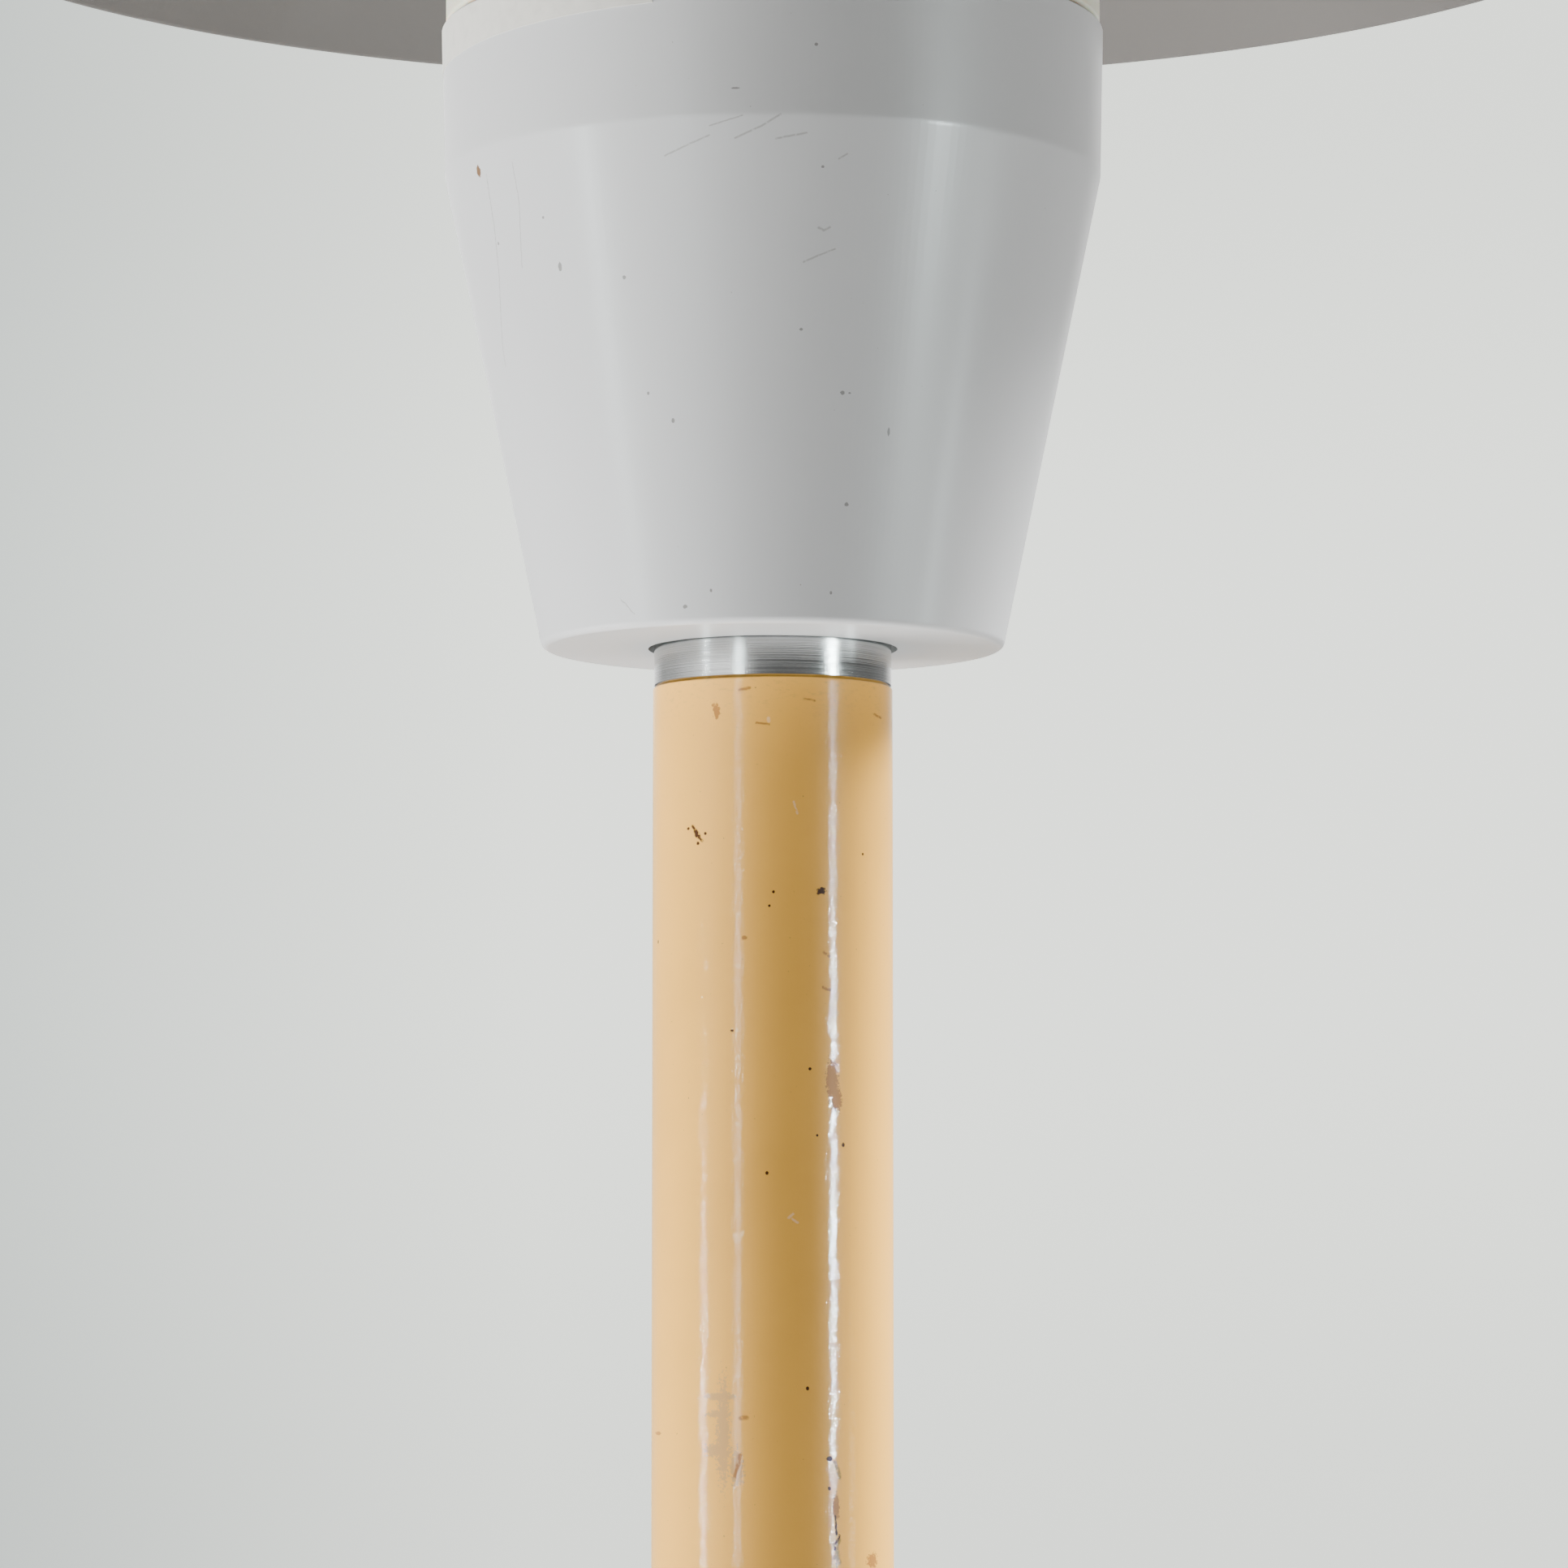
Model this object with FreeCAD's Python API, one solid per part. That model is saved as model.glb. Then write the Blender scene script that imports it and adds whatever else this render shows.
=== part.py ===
import FreeCAD, Part
import math
import os

# Floor-to-ceiling pole lamp, in millimetres. Z is up, and the origin is the middle of the
# floor pad's underside. The photographed view looks along +Y; the cord's inlet is at the back.
# Nearly every piece is turned about the pole's axis, so most are outlines in radius and height.

# ---- clearances ----
PRESS_FIT = 0.05        # radial, between pieces of one assembly that are pushed together
RUNNING_FIT = 0.08      # radial, between a piece and the guide that it slides or turns in
SEAT_GAP = 0.3          # between two faces that meet when a piece comes to its stop

# ---- pole tubes and the aluminium rings at their ends ----
TUBE_R = 15.0
TUBE_WALL = 1.5
LOWER_TUBE_L = 714.0
MIDDLE_TUBE_L = 714.0
UPPER_TUBE_L = 655.0
RING_STEP = 0.15        # a ring is this much smaller in radius than the lacquered tube
RING_H = 5.0            # visible height of each ring
RING_TAIL = 15.0        # stretch of the spacer ring that is hidden inside the cup
RING_CHAMFER = 0.35
COUPLER_L = 100.0
COUPLER_WALL = 3.0
PLUG_CHAMFER = 1.0

# ---- foot ----
PAD_R = 35.5
PAD_H = 4.0
PAD_ROUND = 1.2
BASE_R = 36.0
BASE_BAND = 6.0
FOOT_CONE_H = 42.0
CONE_NECK_R = 18.2
CONE_ROUND = 1.0
SCREW_R = 10.0
SCREW_L = 145.0
SCREW_LIFT = 1.0        # the screw starts this far above the pad
LOCK_NUT_AF = 30.0
LOCK_NUT_H = 9.0
NUT_R = 19.0
NUT_GRIP_H = 10.0
NUT_NECK_H = 4.0
NUT_ROUND = 0.8
NUT_GAP = 1.0           # between the foot cone and the adjusting nut at the lowest setting
FLUTES = 16
FLUTE_R = 3.4
FLUTE_DEPTH = 1.3
THRUST_WASHER_H = 1.0
FOOT_PLUG_L = 64.0

# ---- cord inlet ----
INLET_H = 185.0         # above the floor
INLET_HOLE_R = 5.0
GROMMET_R = 7.0
GROMMET_LIP = 2.0       # how far it stands out of the tube's wall, inside and outside
CORD_BORE_R = 3.4

# ---- cup ----
CUP_BASE_R = 28.9
CUP_KNEE_R = 41.3
CUP_RIM_R = 41.66
CUP_KNEE_H = 59.6
CUP_H = 78.2
CUP_WALL = 1.5
CUP_HOLE_GAP = 0.6      # radial, between the pole and the hole in the cup's floor
CUP_EDGE_ROUND = 1.0
CUP_KNEE_ROUND = 4.0
BUSH_FLANGE_H = 3.0
BUSH_H = 12.0
BUSH_WALL = 5.0
SEAT_RING_DEPTH = 4.0   # below the cup's rim
SEAT_RING_H = 1.5
SEAT_RING_W = 1.8

# ---- diffuser ----
DIFFUSER_STEP = 0.4     # the drum is this much smaller in radius than the cup's rim
DIFFUSER_WALL = 1.8
DIFFUSER_GAP = 0.5      # open line between the cup's rim and the drum's shoulder
DIFFUSER_ROUND = 0.5
SPIGOT_WALL = 1.2
SPIGOT_FIT = 0.15

# ---- inside the head ----
STEM_R = 8.0
STEM_WALL = 1.5
STEM_IN_PLUG = 50.0
PLUG_IN_TUBE = 40.0
WIRE_HOLE_R = 4.0
HUB_WASHER_H = 1.5
HUB_NUT_AF = 24.0
HUB_NUT_H = 8.0
PLATE_BELOW_KNEE = 3.4
PLATE_T = 2.0
PLATE_CLEARANCE = 2.8   # radial, to the cup's wall
PLATE_NUT_H = 6.0
SLEEVE_WALL = 1.1
SOCKETS = 3
SOCKET_FIRST_DEG = -90.0
SOCKET_R = 12.5
SOCKET_RIM_R = 11.6
SOCKET_FOOT_H = 11.0
SOCKET_H = 30.0
SOCKET_FLOOR = 8.0
SOCKET_BORE_R = 7.3
SOCKET_CLEARANCE = 1.2  # radial, to the ring that carries the diffuser
CAP_R = 6.9
CAP_TIP_R = 2.5
CAP_TIP_H = 3.0
BULB_R = 12.0
BULB_NECK_R = 6.5
BULB_NECK_H = 2.0
BULB_SHOULDER_H = 8.0
BULB_L = 39.0
SCREW_SHANK_R = 1.5
SCREW_SHANK_L = 6.0
SCREW_HEAD_R = 3.0
SCREW_HEAD_H = 2.0
BRACKET_Y = 15.0
BRACKET_W = 18.0
BRACKET_T = 1.2
BRACKET_FOOT = 9.0
BRACKET_LEG = 30.0
BLOCK_W = 24.0
BLOCK_D = 9.0
BLOCK_H = 16.0
TERMINALS = 3
TERMINAL_PITCH = 7.5
TERMINAL_WIRE_R = 1.4
TERMINAL_SCREW_R = 2.0
TERMINAL_SCREW_H = 2.5
TERMINAL_WELL = 4.0

# ---- shade ----
SHADE_R = 118.0
SHADE_RISE = 41.0
SHADE_WALL = 1.4
SHADE_SEAT_R = 20.5
FLANGE_R = 19.5
FLANGE_T = 3.0
FLANGE_HUB_R = 11.0
FLANGE_HUB_H = 4.6
BULB_CLEARANCE = 3.0    # above the bulbs
SHADE_WASHER_R = 17.0
SHADE_WASHER_H = 1.0
UPPER_PLUG_L = 50.0
STEM_IN_UPPER_PLUG = 40.0

# ---- spring-loaded top ----
GUIDE_WALL = 1.0
GUIDE_L = 40.0
PLUNGER_WALL = 1.5
PLUNGER_SHOW = 135.0    # visible above the upper ring, fully out
COLLAR_H = 10.0
COLLAR_PLAY = 0.15
CAP_FLANGE_H = 4.0
CAP_SPIGOT_H = 8.0
SPRING_L = 158.0
SPRING_WIRE_R = 1.0
SPRING_INSET = 1.5      # from the plunger's outside to the middle of the wire
SPRING_COILS = 11
SPRING_END_PITCH = 3.0
SPRING_SEAT_H = 10.0
PIN_R = 2.0
PLUNGER_PLUG_L = 20.0
PLUNGER_PLUG_FLANGE = 3.0
STUD_R = 4.0
STUD_L = 14.0
STUD_COLLAR_R = 7.0
STUD_COLLAR_H = 3.0
STUD_NECK_R = 3.5
STUD_REACH = 22.6       # from the plunger's top face to the ball's middle
BALL_R = 8.0
LINER_WALL = 1.9
LINER_BELOW = 5.5       # the liner's cut faces, from the ball's middle
LINER_ABOVE = 6.5
RETAINER_R = 12.8
RETAINER_BELOW = 10.0
RETAINER_MOUTH_R = 6.8
RETAINER_STEP = 0.5     # its top face, below the ball's middle
BALL_DEPTH = 12.0       # the ball's middle, from the ceiling cone's lower face
CEILING_CONE_H = 42.0

# ---- radii that follow ----
TUBE_BORE = TUBE_R - TUBE_WALL
PLUG_R = TUBE_BORE - PRESS_FIT
RING_R = TUBE_R - RING_STEP
GUIDE_BORE = PLUG_R - GUIDE_WALL
PLUNGER_R = GUIDE_BORE - RUNNING_FIT
PLUNGER_BORE = PLUNGER_R - PLUNGER_WALL
STEM_HOLE_R = STEM_R + PRESS_FIT
STUD_HOLE_R = STUD_R + PRESS_FIT
SCREW_HOLE_R = SCREW_R + PRESS_FIT
LINER_BORE = BALL_R + RUNNING_FIT
LINER_R = LINER_BORE + LINER_WALL
SOCKET_BALL_R = LINER_R + RUNNING_FIT
BUSH_BORE = TUBE_R + RUNNING_FIT
DIFFUSER_R = CUP_RIM_R - DIFFUSER_STEP
SPIGOT_R = CUP_RIM_R - CUP_WALL - SPIGOT_FIT
SEAT_RING_R = CUP_RIM_R - CUP_WALL - PRESS_FIT
SEAT_RING_BORE = SEAT_RING_R - SEAT_RING_W
HEAD_FREE_R = min(SEAT_RING_BORE, CUP_KNEE_R - CUP_WALL)
SOCKET_CIRCLE_R = HEAD_FREE_R - SOCKET_CLEARANCE - SOCKET_R

# ---- heights that follow, from the floor up ----
Z_BASE = PAD_H
Z_SCREW = Z_BASE + SCREW_LIFT
Z_BASE_TOP = Z_BASE + FOOT_CONE_H
Z_NUT = Z_BASE_TOP + NUT_GAP
Z_NUT_TOP = Z_NUT + NUT_GRIP_H + NUT_NECK_H
Z_THRUST = Z_NUT_TOP + SEAT_GAP
Z_POLE = Z_THRUST + THRUST_WASHER_H
Z_LOWER = Z_POLE + RING_H
Z_JOINT = Z_LOWER + LOWER_TUBE_L
Z_TUBE_TOP = Z_JOINT + MIDDLE_TUBE_L
Z_CUP = Z_TUBE_TOP + RING_H
Z_RING_TOP = Z_CUP + RING_TAIL
Z_HUB_NUT = Z_RING_TOP + HUB_WASHER_H
Z_KNEE = Z_CUP + CUP_KNEE_H
Z_RIM = Z_CUP + CUP_H
Z_PLATE = Z_KNEE - PLATE_BELOW_KNEE
Z_PLATE_TOP = Z_PLATE + PLATE_T
Z_BULB = Z_PLATE_TOP + SOCKET_H + SEAT_GAP
Z_FLANGE_HUB = Z_BULB + BULB_L + BULB_CLEARANCE
Z_FLANGE = Z_FLANGE_HUB + FLANGE_HUB_H
Z_SHADE_SEAT = Z_FLANGE + FLANGE_T
Z_SHADE_TOP = Z_SHADE_SEAT + SHADE_WALL
Z_SHADE_RIM = Z_SHADE_TOP - SHADE_RISE
Z_UPPER_RING = Z_SHADE_TOP + SHADE_WASHER_H
Z_UPPER = Z_UPPER_RING + RING_H
Z_UPPER_TOP = Z_UPPER + UPPER_TUBE_L
Z_GUIDE_TOP = Z_UPPER_TOP + RING_H
Z_GUIDE = Z_GUIDE_TOP - GUIDE_L
Z_COLLAR = Z_GUIDE - SEAT_GAP - COLLAR_H
Z_PLUNGER = Z_COLLAR
Z_PLUNGER_TOP = Z_GUIDE_TOP + PLUNGER_SHOW
Z_SPRING_TOP = Z_PLUNGER - CAP_FLANGE_H
Z_SPRING = Z_SPRING_TOP - SPRING_L
Z_STUD = Z_PLUNGER_TOP + PLUNGER_PLUG_FLANGE
Z_BALL = Z_STUD + STUD_REACH
Z_CEILING_CONE = Z_BALL - BALL_DEPTH
Z_CEILING_PAD = Z_CEILING_CONE + CEILING_CONE_H

# The dome's outside is one arc, level where it leaves the flat seat round the stem.
DOME_REACH = SHADE_R - SHADE_SEAT_R
DOME_ARC_R = (DOME_REACH ** 2 + SHADE_RISE ** 2) / (2 * SHADE_RISE)
DOME_RIM_ANGLE = math.asin(DOME_REACH / DOME_ARC_R)
DOME_CENTRE_Z = Z_SHADE_TOP - DOME_ARC_R

UP = FreeCAD.Vector(0, 0, 1)
ORIGIN = FreeCAD.Vector(0, 0, 0)


# ---- shared operations ----

def rounded_corner(before, corner, after, radius):
    """Start, middle and end of the arc that rounds a corner of an outline."""
    back = (before - corner).normalize()
    ahead = (after - corner).normalize()
    half = back.getAngle(ahead) / 2
    reach = radius / math.tan(half)
    bisector = (back + ahead).normalize()
    middle = corner + bisector * (radius / math.sin(half) - radius)
    return corner + back * reach, middle, corner + ahead * reach


def outline(*corners):
    """A closed face in the XZ plane. A corner is (radius, height) or (radius, height, round)."""
    places = [FreeCAD.Vector(corner[0], 0, corner[1]) for corner in corners]
    edges = []
    ends = []
    for index, corner in enumerate(corners):
        here = places[index]
        if len(corner) == 3:
            after = places[(index + 1) % len(places)]
            start, middle, end = rounded_corner(places[index - 1], here, after, corner[2])
            edges.append(Part.Arc(start, middle, end).toShape())
            ends.append((start, end))
        else:
            ends.append((here, here))
    for index, (_, leave) in enumerate(ends):
        arrive = ends[(index + 1) % len(ends)][0]
        if leave.distanceToPoint(arrive) > 1e-6:
            edges.append(Part.LineSegment(leave, arrive).toShape())
    return Part.Face(Part.Wire(Part.__sortEdges__(edges)))


def spun(face):
    """The solid of revolution of an outline about the pole's axis."""
    solid = face.revolve(ORIGIN, UP, 360)
    if solid.Volume < 0:
        solid.reverse()
    return solid


def turned(*corners):
    return spun(outline(*corners))


def washer(bore_r, outer_r, low, high, chamfer=0.0):
    """A ring, plug or tube with the same chamfer at both ends of its outside."""
    if not chamfer:
        return turned((bore_r, low), (outer_r, low), (outer_r, high), (bore_r, high))
    return turned(
        (bore_r, low), (outer_r - chamfer, low), (outer_r, low + chamfer),
        (outer_r, high - chamfer), (outer_r - chamfer, high), (bore_r, high))


def disc(outer_r, low, high):
    return Part.makeCylinder(outer_r, high - low, FreeCAD.Vector(0, 0, low))


def hex_nut(across_flats, low, height, bore_r):
    """A six-sided nut, its corners turned off at both ends."""
    corner_r = across_flats / math.sqrt(3)
    points = []
    for index in range(7):
        angle = math.radians(60 * index)
        points.append(FreeCAD.Vector(corner_r * math.cos(angle), corner_r * math.sin(angle), low))
    prism = Part.Face(Part.makePolygon(points)).extrude(UP * height)
    lost = (corner_r - across_flats / 2) * 0.6
    blank = washer(bore_r, corner_r, low, low + height, lost)
    return prism.common(blank)


def around(shape_at, count, radius, first_deg):
    """Copies of one piece on a circle, as one compound of separate solids."""
    solids = []
    for index in range(count):
        angle = math.radians(first_deg + 360.0 * index / count)
        solids.append(shape_at(radius * math.cos(angle), radius * math.sin(angle)))
    return Part.makeCompound(solids)


def moved(shape, x, y, z=0.0):
    shape = shape.copy()
    shape.translate(FreeCAD.Vector(x, y, z))
    return shape


def cup_wall_r(z):
    """The cup's outside radius at a height, on its lower cone or its upper band."""
    if z <= Z_KNEE:
        return CUP_BASE_R + (CUP_KNEE_R - CUP_BASE_R) * (z - Z_CUP) / CUP_KNEE_H
    return CUP_KNEE_R + (CUP_RIM_R - CUP_KNEE_R) * (z - Z_KNEE) / (CUP_H - CUP_KNEE_H)


def dome_under_z(radius):
    """The height of the shade's underside at a radius beyond its flat seat."""
    inner_r = DOME_ARC_R - SHADE_WALL
    return DOME_CENTRE_Z + math.sqrt(inner_r ** 2 - (radius - SHADE_SEAT_R) ** 2)


# ---- foot ----

def floor_pad():
    return turned((0, 0), (PAD_R, 0, PAD_ROUND), (PAD_R, PAD_H), (0, PAD_H))


def cone_corners(wide_z, band_z, neck_z, bore_r):
    """The outline that the foot and the ceiling cone share, from the wide end to the neck."""
    return [
        (bore_r, wide_z), (BASE_R, wide_z, CONE_ROUND), (BASE_R, band_z, CUP_KNEE_ROUND),
        (CONE_NECK_R, neck_z, CONE_ROUND), (bore_r, neck_z)]


def foot_cone():
    recess_r = LOCK_NUT_AF / math.sqrt(3) + SEAT_GAP
    recess_top = Z_SCREW + LOCK_NUT_H
    body = turned(*cone_corners(Z_BASE, Z_BASE + BASE_BAND, Z_BASE_TOP, SCREW_HOLE_R))
    return body.cut(disc(recess_r, Z_BASE, recess_top))


def foot_screw():
    return washer(0, SCREW_R, Z_SCREW, Z_SCREW + SCREW_L, PLUG_CHAMFER)


def lock_nut():
    return hex_nut(LOCK_NUT_AF, Z_SCREW, LOCK_NUT_H, SCREW_HOLE_R)


def adjusting_nut():
    """A hand nut with scalloped grip, and a neck of the rings' size that carries the pole."""
    grip_top = Z_NUT + NUT_GRIP_H
    bore_r = SCREW_R + RUNNING_FIT
    body = turned(
        (bore_r, Z_NUT), (NUT_R, Z_NUT, NUT_ROUND), (NUT_R, grip_top, NUT_ROUND),
        (RING_R, grip_top), (RING_R, Z_NUT_TOP), (bore_r, Z_NUT_TOP))
    flute = Part.makeCylinder(FLUTE_R, NUT_GRIP_H + 2, FreeCAD.Vector(0, 0, Z_NUT - 1))
    flutes = around(lambda x, y: moved(flute, x, y), FLUTES, NUT_R + FLUTE_R - FLUTE_DEPTH, 0)
    return body.cut(flutes)


# ---- lower pole ----

def thrust_washer():
    return washer(SCREW_HOLE_R, RING_R, Z_THRUST, Z_POLE)


def foot_ring():
    return washer(TUBE_BORE, RING_R, Z_POLE, Z_LOWER, RING_CHAMFER)


def foot_plug():
    return washer(SCREW_R + RUNNING_FIT, PLUG_R, Z_POLE, Z_POLE + FOOT_PLUG_L, PLUG_CHAMFER)


def across(radius, start_y, end_y):
    """A round bar through the pole's wall at the inlet, along Y."""
    place = FreeCAD.Vector(0, start_y, INLET_H)
    return Part.makeCylinder(radius, end_y - start_y, place, FreeCAD.Vector(0, 1, 0))


def lower_tube():
    return washer(TUBE_BORE, TUBE_R, Z_LOWER, Z_JOINT).cut(across(INLET_HOLE_R, 0, TUBE_R + 1))


def cable_grommet():
    """A saddle-shaped grommet, which grips the tube's wall from inside and outside."""
    inside = TUBE_BORE - GROMMET_LIP
    outside = TUBE_R + GROMMET_LIP
    wall = washer(TUBE_BORE - PRESS_FIT, TUBE_R + PRESS_FIT,
                  INLET_H - 2 * GROMMET_R, INLET_H + 2 * GROMMET_R)
    lips = across(GROMMET_R, inside, outside).cut(wall)
    body = lips.fuse(across(INLET_HOLE_R - PRESS_FIT, inside, outside))
    return body.cut(across(CORD_BORE_R, 0, outside + 1)).removeSplitter()


def tube_coupler():
    half = COUPLER_L / 2
    return washer(PLUG_R - COUPLER_WALL, PLUG_R, Z_JOINT - half, Z_JOINT + half, PLUG_CHAMFER)


def middle_tube():
    return washer(TUBE_BORE, TUBE_R, Z_JOINT, Z_TUBE_TOP)


def pole_plug():
    return washer(STEM_HOLE_R, PLUG_R, Z_TUBE_TOP - PLUG_IN_TUBE, Z_RING_TOP, PLUG_CHAMFER)


def spacer_ring():
    """The turned ring between the lacquered tube and the cup, and its tail inside the cup."""
    return washer(TUBE_BORE, RING_R, Z_TUBE_TOP, Z_RING_TOP, RING_CHAMFER)


# ---- cup ----

def cup():
    """A spun cup with one wall: flat floor with a hole, long cone, knee and drafted band."""
    hole_r = TUBE_R + CUP_HOLE_GAP
    inside_floor = Z_CUP + CUP_WALL
    inside_base_r = cup_wall_r(inside_floor) - CUP_WALL
    inside_round = max(CUP_EDGE_ROUND - CUP_WALL, 0.4)
    return turned(
        (hole_r, Z_CUP), (CUP_BASE_R, Z_CUP, CUP_EDGE_ROUND), (CUP_KNEE_R, Z_KNEE, CUP_KNEE_ROUND),
        (CUP_RIM_R, Z_RIM), (CUP_RIM_R - CUP_WALL, Z_RIM),
        (CUP_KNEE_R - CUP_WALL, Z_KNEE, CUP_KNEE_ROUND - CUP_WALL),
        (inside_base_r, inside_floor, inside_round), (hole_r, inside_floor))


def cup_bush():
    """The nylon bush that sits on the cup's floor and grips the pole."""
    low = Z_CUP + CUP_WALL
    flange_top = low + BUSH_FLANGE_H
    low_r = cup_wall_r(low) - CUP_WALL - SEAT_GAP
    high_r = cup_wall_r(flange_top) - CUP_WALL - SEAT_GAP
    hub_r = BUSH_BORE + BUSH_WALL
    return turned(
        (BUSH_BORE, low), (low_r - PLUG_CHAMFER, low), (low_r, low + PLUG_CHAMFER),
        (high_r, flange_top), (hub_r, flange_top), (hub_r, low + BUSH_H), (BUSH_BORE, low + BUSH_H))


def diffuser_seat():
    low = Z_RIM - SEAT_RING_DEPTH - SEAT_RING_H
    bore_r = SEAT_RING_BORE
    slack = CUP_RIM_R - cup_wall_r(low)
    return washer(bore_r, SEAT_RING_R - slack, low, low + SEAT_RING_H)


def diffuser():
    """The opal drum: its spigot stands inside the cup's rim, its top stops under the shade."""
    low = Z_RIM - SEAT_RING_DEPTH
    shoulder = Z_RIM + DIFFUSER_GAP
    top = dome_under_z(DIFFUSER_R) - SEAT_GAP
    slack = CUP_RIM_R - cup_wall_r(low)
    outer_r = DIFFUSER_R
    spigot_r = SPIGOT_R - slack
    bore_r = min(outer_r - DIFFUSER_WALL, spigot_r - SPIGOT_WALL)
    return turned(
        (bore_r, low), (spigot_r, low), (spigot_r, shoulder),
        (outer_r, shoulder, DIFFUSER_ROUND), (outer_r, top, DIFFUSER_ROUND),
        (bore_r, top, DIFFUSER_ROUND))


# ---- inside the head ----

def stem():
    low = Z_RING_TOP - STEM_IN_PLUG
    high = Z_UPPER_RING + STEM_IN_UPPER_PLUG
    tube = washer(STEM_R - STEM_WALL, STEM_R, low, high)
    place = FreeCAD.Vector(0, 0, (Z_HUB_NUT + HUB_NUT_H + Z_PLATE - PLATE_NUT_H) / 2)
    return tube.cut(Part.makeCylinder(WIRE_HOLE_R, STEM_R + 1, place, FreeCAD.Vector(0, 1, 0)))


def hub_washer():
    return washer(STEM_HOLE_R, RING_R, Z_RING_TOP, Z_HUB_NUT)


def hub_nut():
    return hex_nut(HUB_NUT_AF, Z_HUB_NUT, HUB_NUT_H, STEM_HOLE_R)


def plate_nut():
    return hex_nut(HUB_NUT_AF, Z_PLATE - PLATE_NUT_H, PLATE_NUT_H, STEM_HOLE_R)


def bracket_screw_places():
    y = BRACKET_Y + BRACKET_FOOT * 0.6
    return [(-BRACKET_W / 4, y), (BRACKET_W / 4, y)]


def screw_holes(low, high):
    """Clearance holes of the screws that hold the sockets and the terminal bracket."""
    drill = disc(SCREW_SHANK_R + PRESS_FIT, low, high)
    holes = around(lambda x, y: moved(drill, x, y), SOCKETS, SOCKET_CIRCLE_R, SOCKET_FIRST_DEG)
    bracket_holes = [moved(drill, x, y) for x, y in bracket_screw_places()]
    return Part.makeCompound([holes] + bracket_holes)


def socket_plate():
    plate = washer(STEM_HOLE_R, cup_wall_r(Z_PLATE) - CUP_WALL - PLATE_CLEARANCE,
                   Z_PLATE, Z_PLATE_TOP)
    wire_hole = disc(WIRE_HOLE_R, Z_PLATE, Z_PLATE_TOP)
    between = SOCKET_FIRST_DEG + 180.0 / SOCKETS
    wires = around(lambda x, y: moved(wire_hole, x, y), SOCKETS, SOCKET_CIRCLE_R, between)
    return plate.cut(screw_holes(Z_PLATE, Z_PLATE_TOP)).cut(wires)


def lamp_socket(x, y):
    low = Z_PLATE_TOP
    foot_top = low + SOCKET_FOOT_H
    high = low + SOCKET_H
    body = turned(
        (0, low), (SOCKET_R, low), (SOCKET_R, foot_top), (SOCKET_RIM_R, foot_top),
        (SOCKET_RIM_R, high, NUT_ROUND), (SOCKET_BORE_R, high),
        (SOCKET_BORE_R, low + SOCKET_FLOOR), (0, low + SOCKET_FLOOR))
    drill = disc(SCREW_SHANK_R + PRESS_FIT, low, low + SCREW_SHANK_L)
    return moved(body.cut(drill), x, y)


def lamp_sockets():
    return around(lamp_socket, SOCKETS, SOCKET_CIRCLE_R, SOCKET_FIRST_DEG)


def bulb_cap(x, y):
    low = Z_PLATE_TOP + SOCKET_FLOOR + SEAT_GAP
    return moved(turned((0, low), (CAP_TIP_R, low), (CAP_R, low + CAP_TIP_H), (CAP_R, Z_BULB),
                        (0, Z_BULB)), x, y)


def bulb_caps():
    return around(bulb_cap, SOCKETS, SOCKET_CIRCLE_R, SOCKET_FIRST_DEG)


def bulb_envelope(x, y):
    neck = Z_BULB + BULB_NECK_H
    shoulder = neck + BULB_SHOULDER_H
    top = Z_BULB + BULB_L
    glass = turned(
        (0, Z_BULB), (BULB_NECK_R, Z_BULB), (BULB_NECK_R, neck, 1.5),
        (BULB_R, shoulder, BULB_R * 0.5), (BULB_R, top, BULB_R * 0.8), (0, top))
    return moved(glass, x, y)


def bulb_glass():
    return around(bulb_envelope, SOCKETS, SOCKET_CIRCLE_R, SOCKET_FIRST_DEG)


def small_screw(x, y, seat_z):
    """A cheese-head screw pushed up through a hole, its head under the given face."""
    shank = disc(SCREW_SHANK_R, seat_z, Z_PLATE_TOP + SCREW_SHANK_L - SEAT_GAP)
    head = disc(SCREW_HEAD_R, seat_z - SCREW_HEAD_H, seat_z)
    return moved(shank.fuse(head).removeSplitter(), x, y)


def socket_screws():
    return around(lambda x, y: small_screw(x, y, Z_PLATE), SOCKETS, SOCKET_CIRCLE_R,
                  SOCKET_FIRST_DEG)


def bracket_screws():
    seat_z = Z_PLATE - BRACKET_T
    return Part.makeCompound([small_screw(x, y, seat_z) for x, y in bracket_screw_places()])


def terminal_bracket():
    """An angle bracket under the plate; the terminal block is fixed to its leg."""
    corner = FreeCAD.Vector(-BRACKET_W / 2, BRACKET_Y, Z_PLATE - BRACKET_T)
    foot = Part.makeBox(BRACKET_W, BRACKET_FOOT, BRACKET_T, corner)
    corner = FreeCAD.Vector(-BRACKET_W / 2, BRACKET_Y, Z_PLATE - BRACKET_LEG)
    leg = Part.makeBox(BRACKET_W, BRACKET_T, BRACKET_LEG, corner)
    holes = screw_holes(Z_PLATE - BRACKET_LEG, Z_PLATE)
    return foot.fuse(leg).cut(holes).removeSplitter()


def terminal_places():
    return [(index - (TERMINALS - 1) / 2) * TERMINAL_PITCH for index in range(TERMINALS)]


def terminal_bar(radius, x, depth_from, depth_to):
    """A round bar along Y into the terminal block's outer face."""
    face_y = BRACKET_Y + BRACKET_T + BLOCK_D
    middle_z = Z_PLATE - BRACKET_LEG + BLOCK_H / 2
    place = FreeCAD.Vector(x, face_y - depth_to, middle_z)
    return Part.makeCylinder(radius, depth_to - depth_from, place, FreeCAD.Vector(0, 1, 0))


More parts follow.
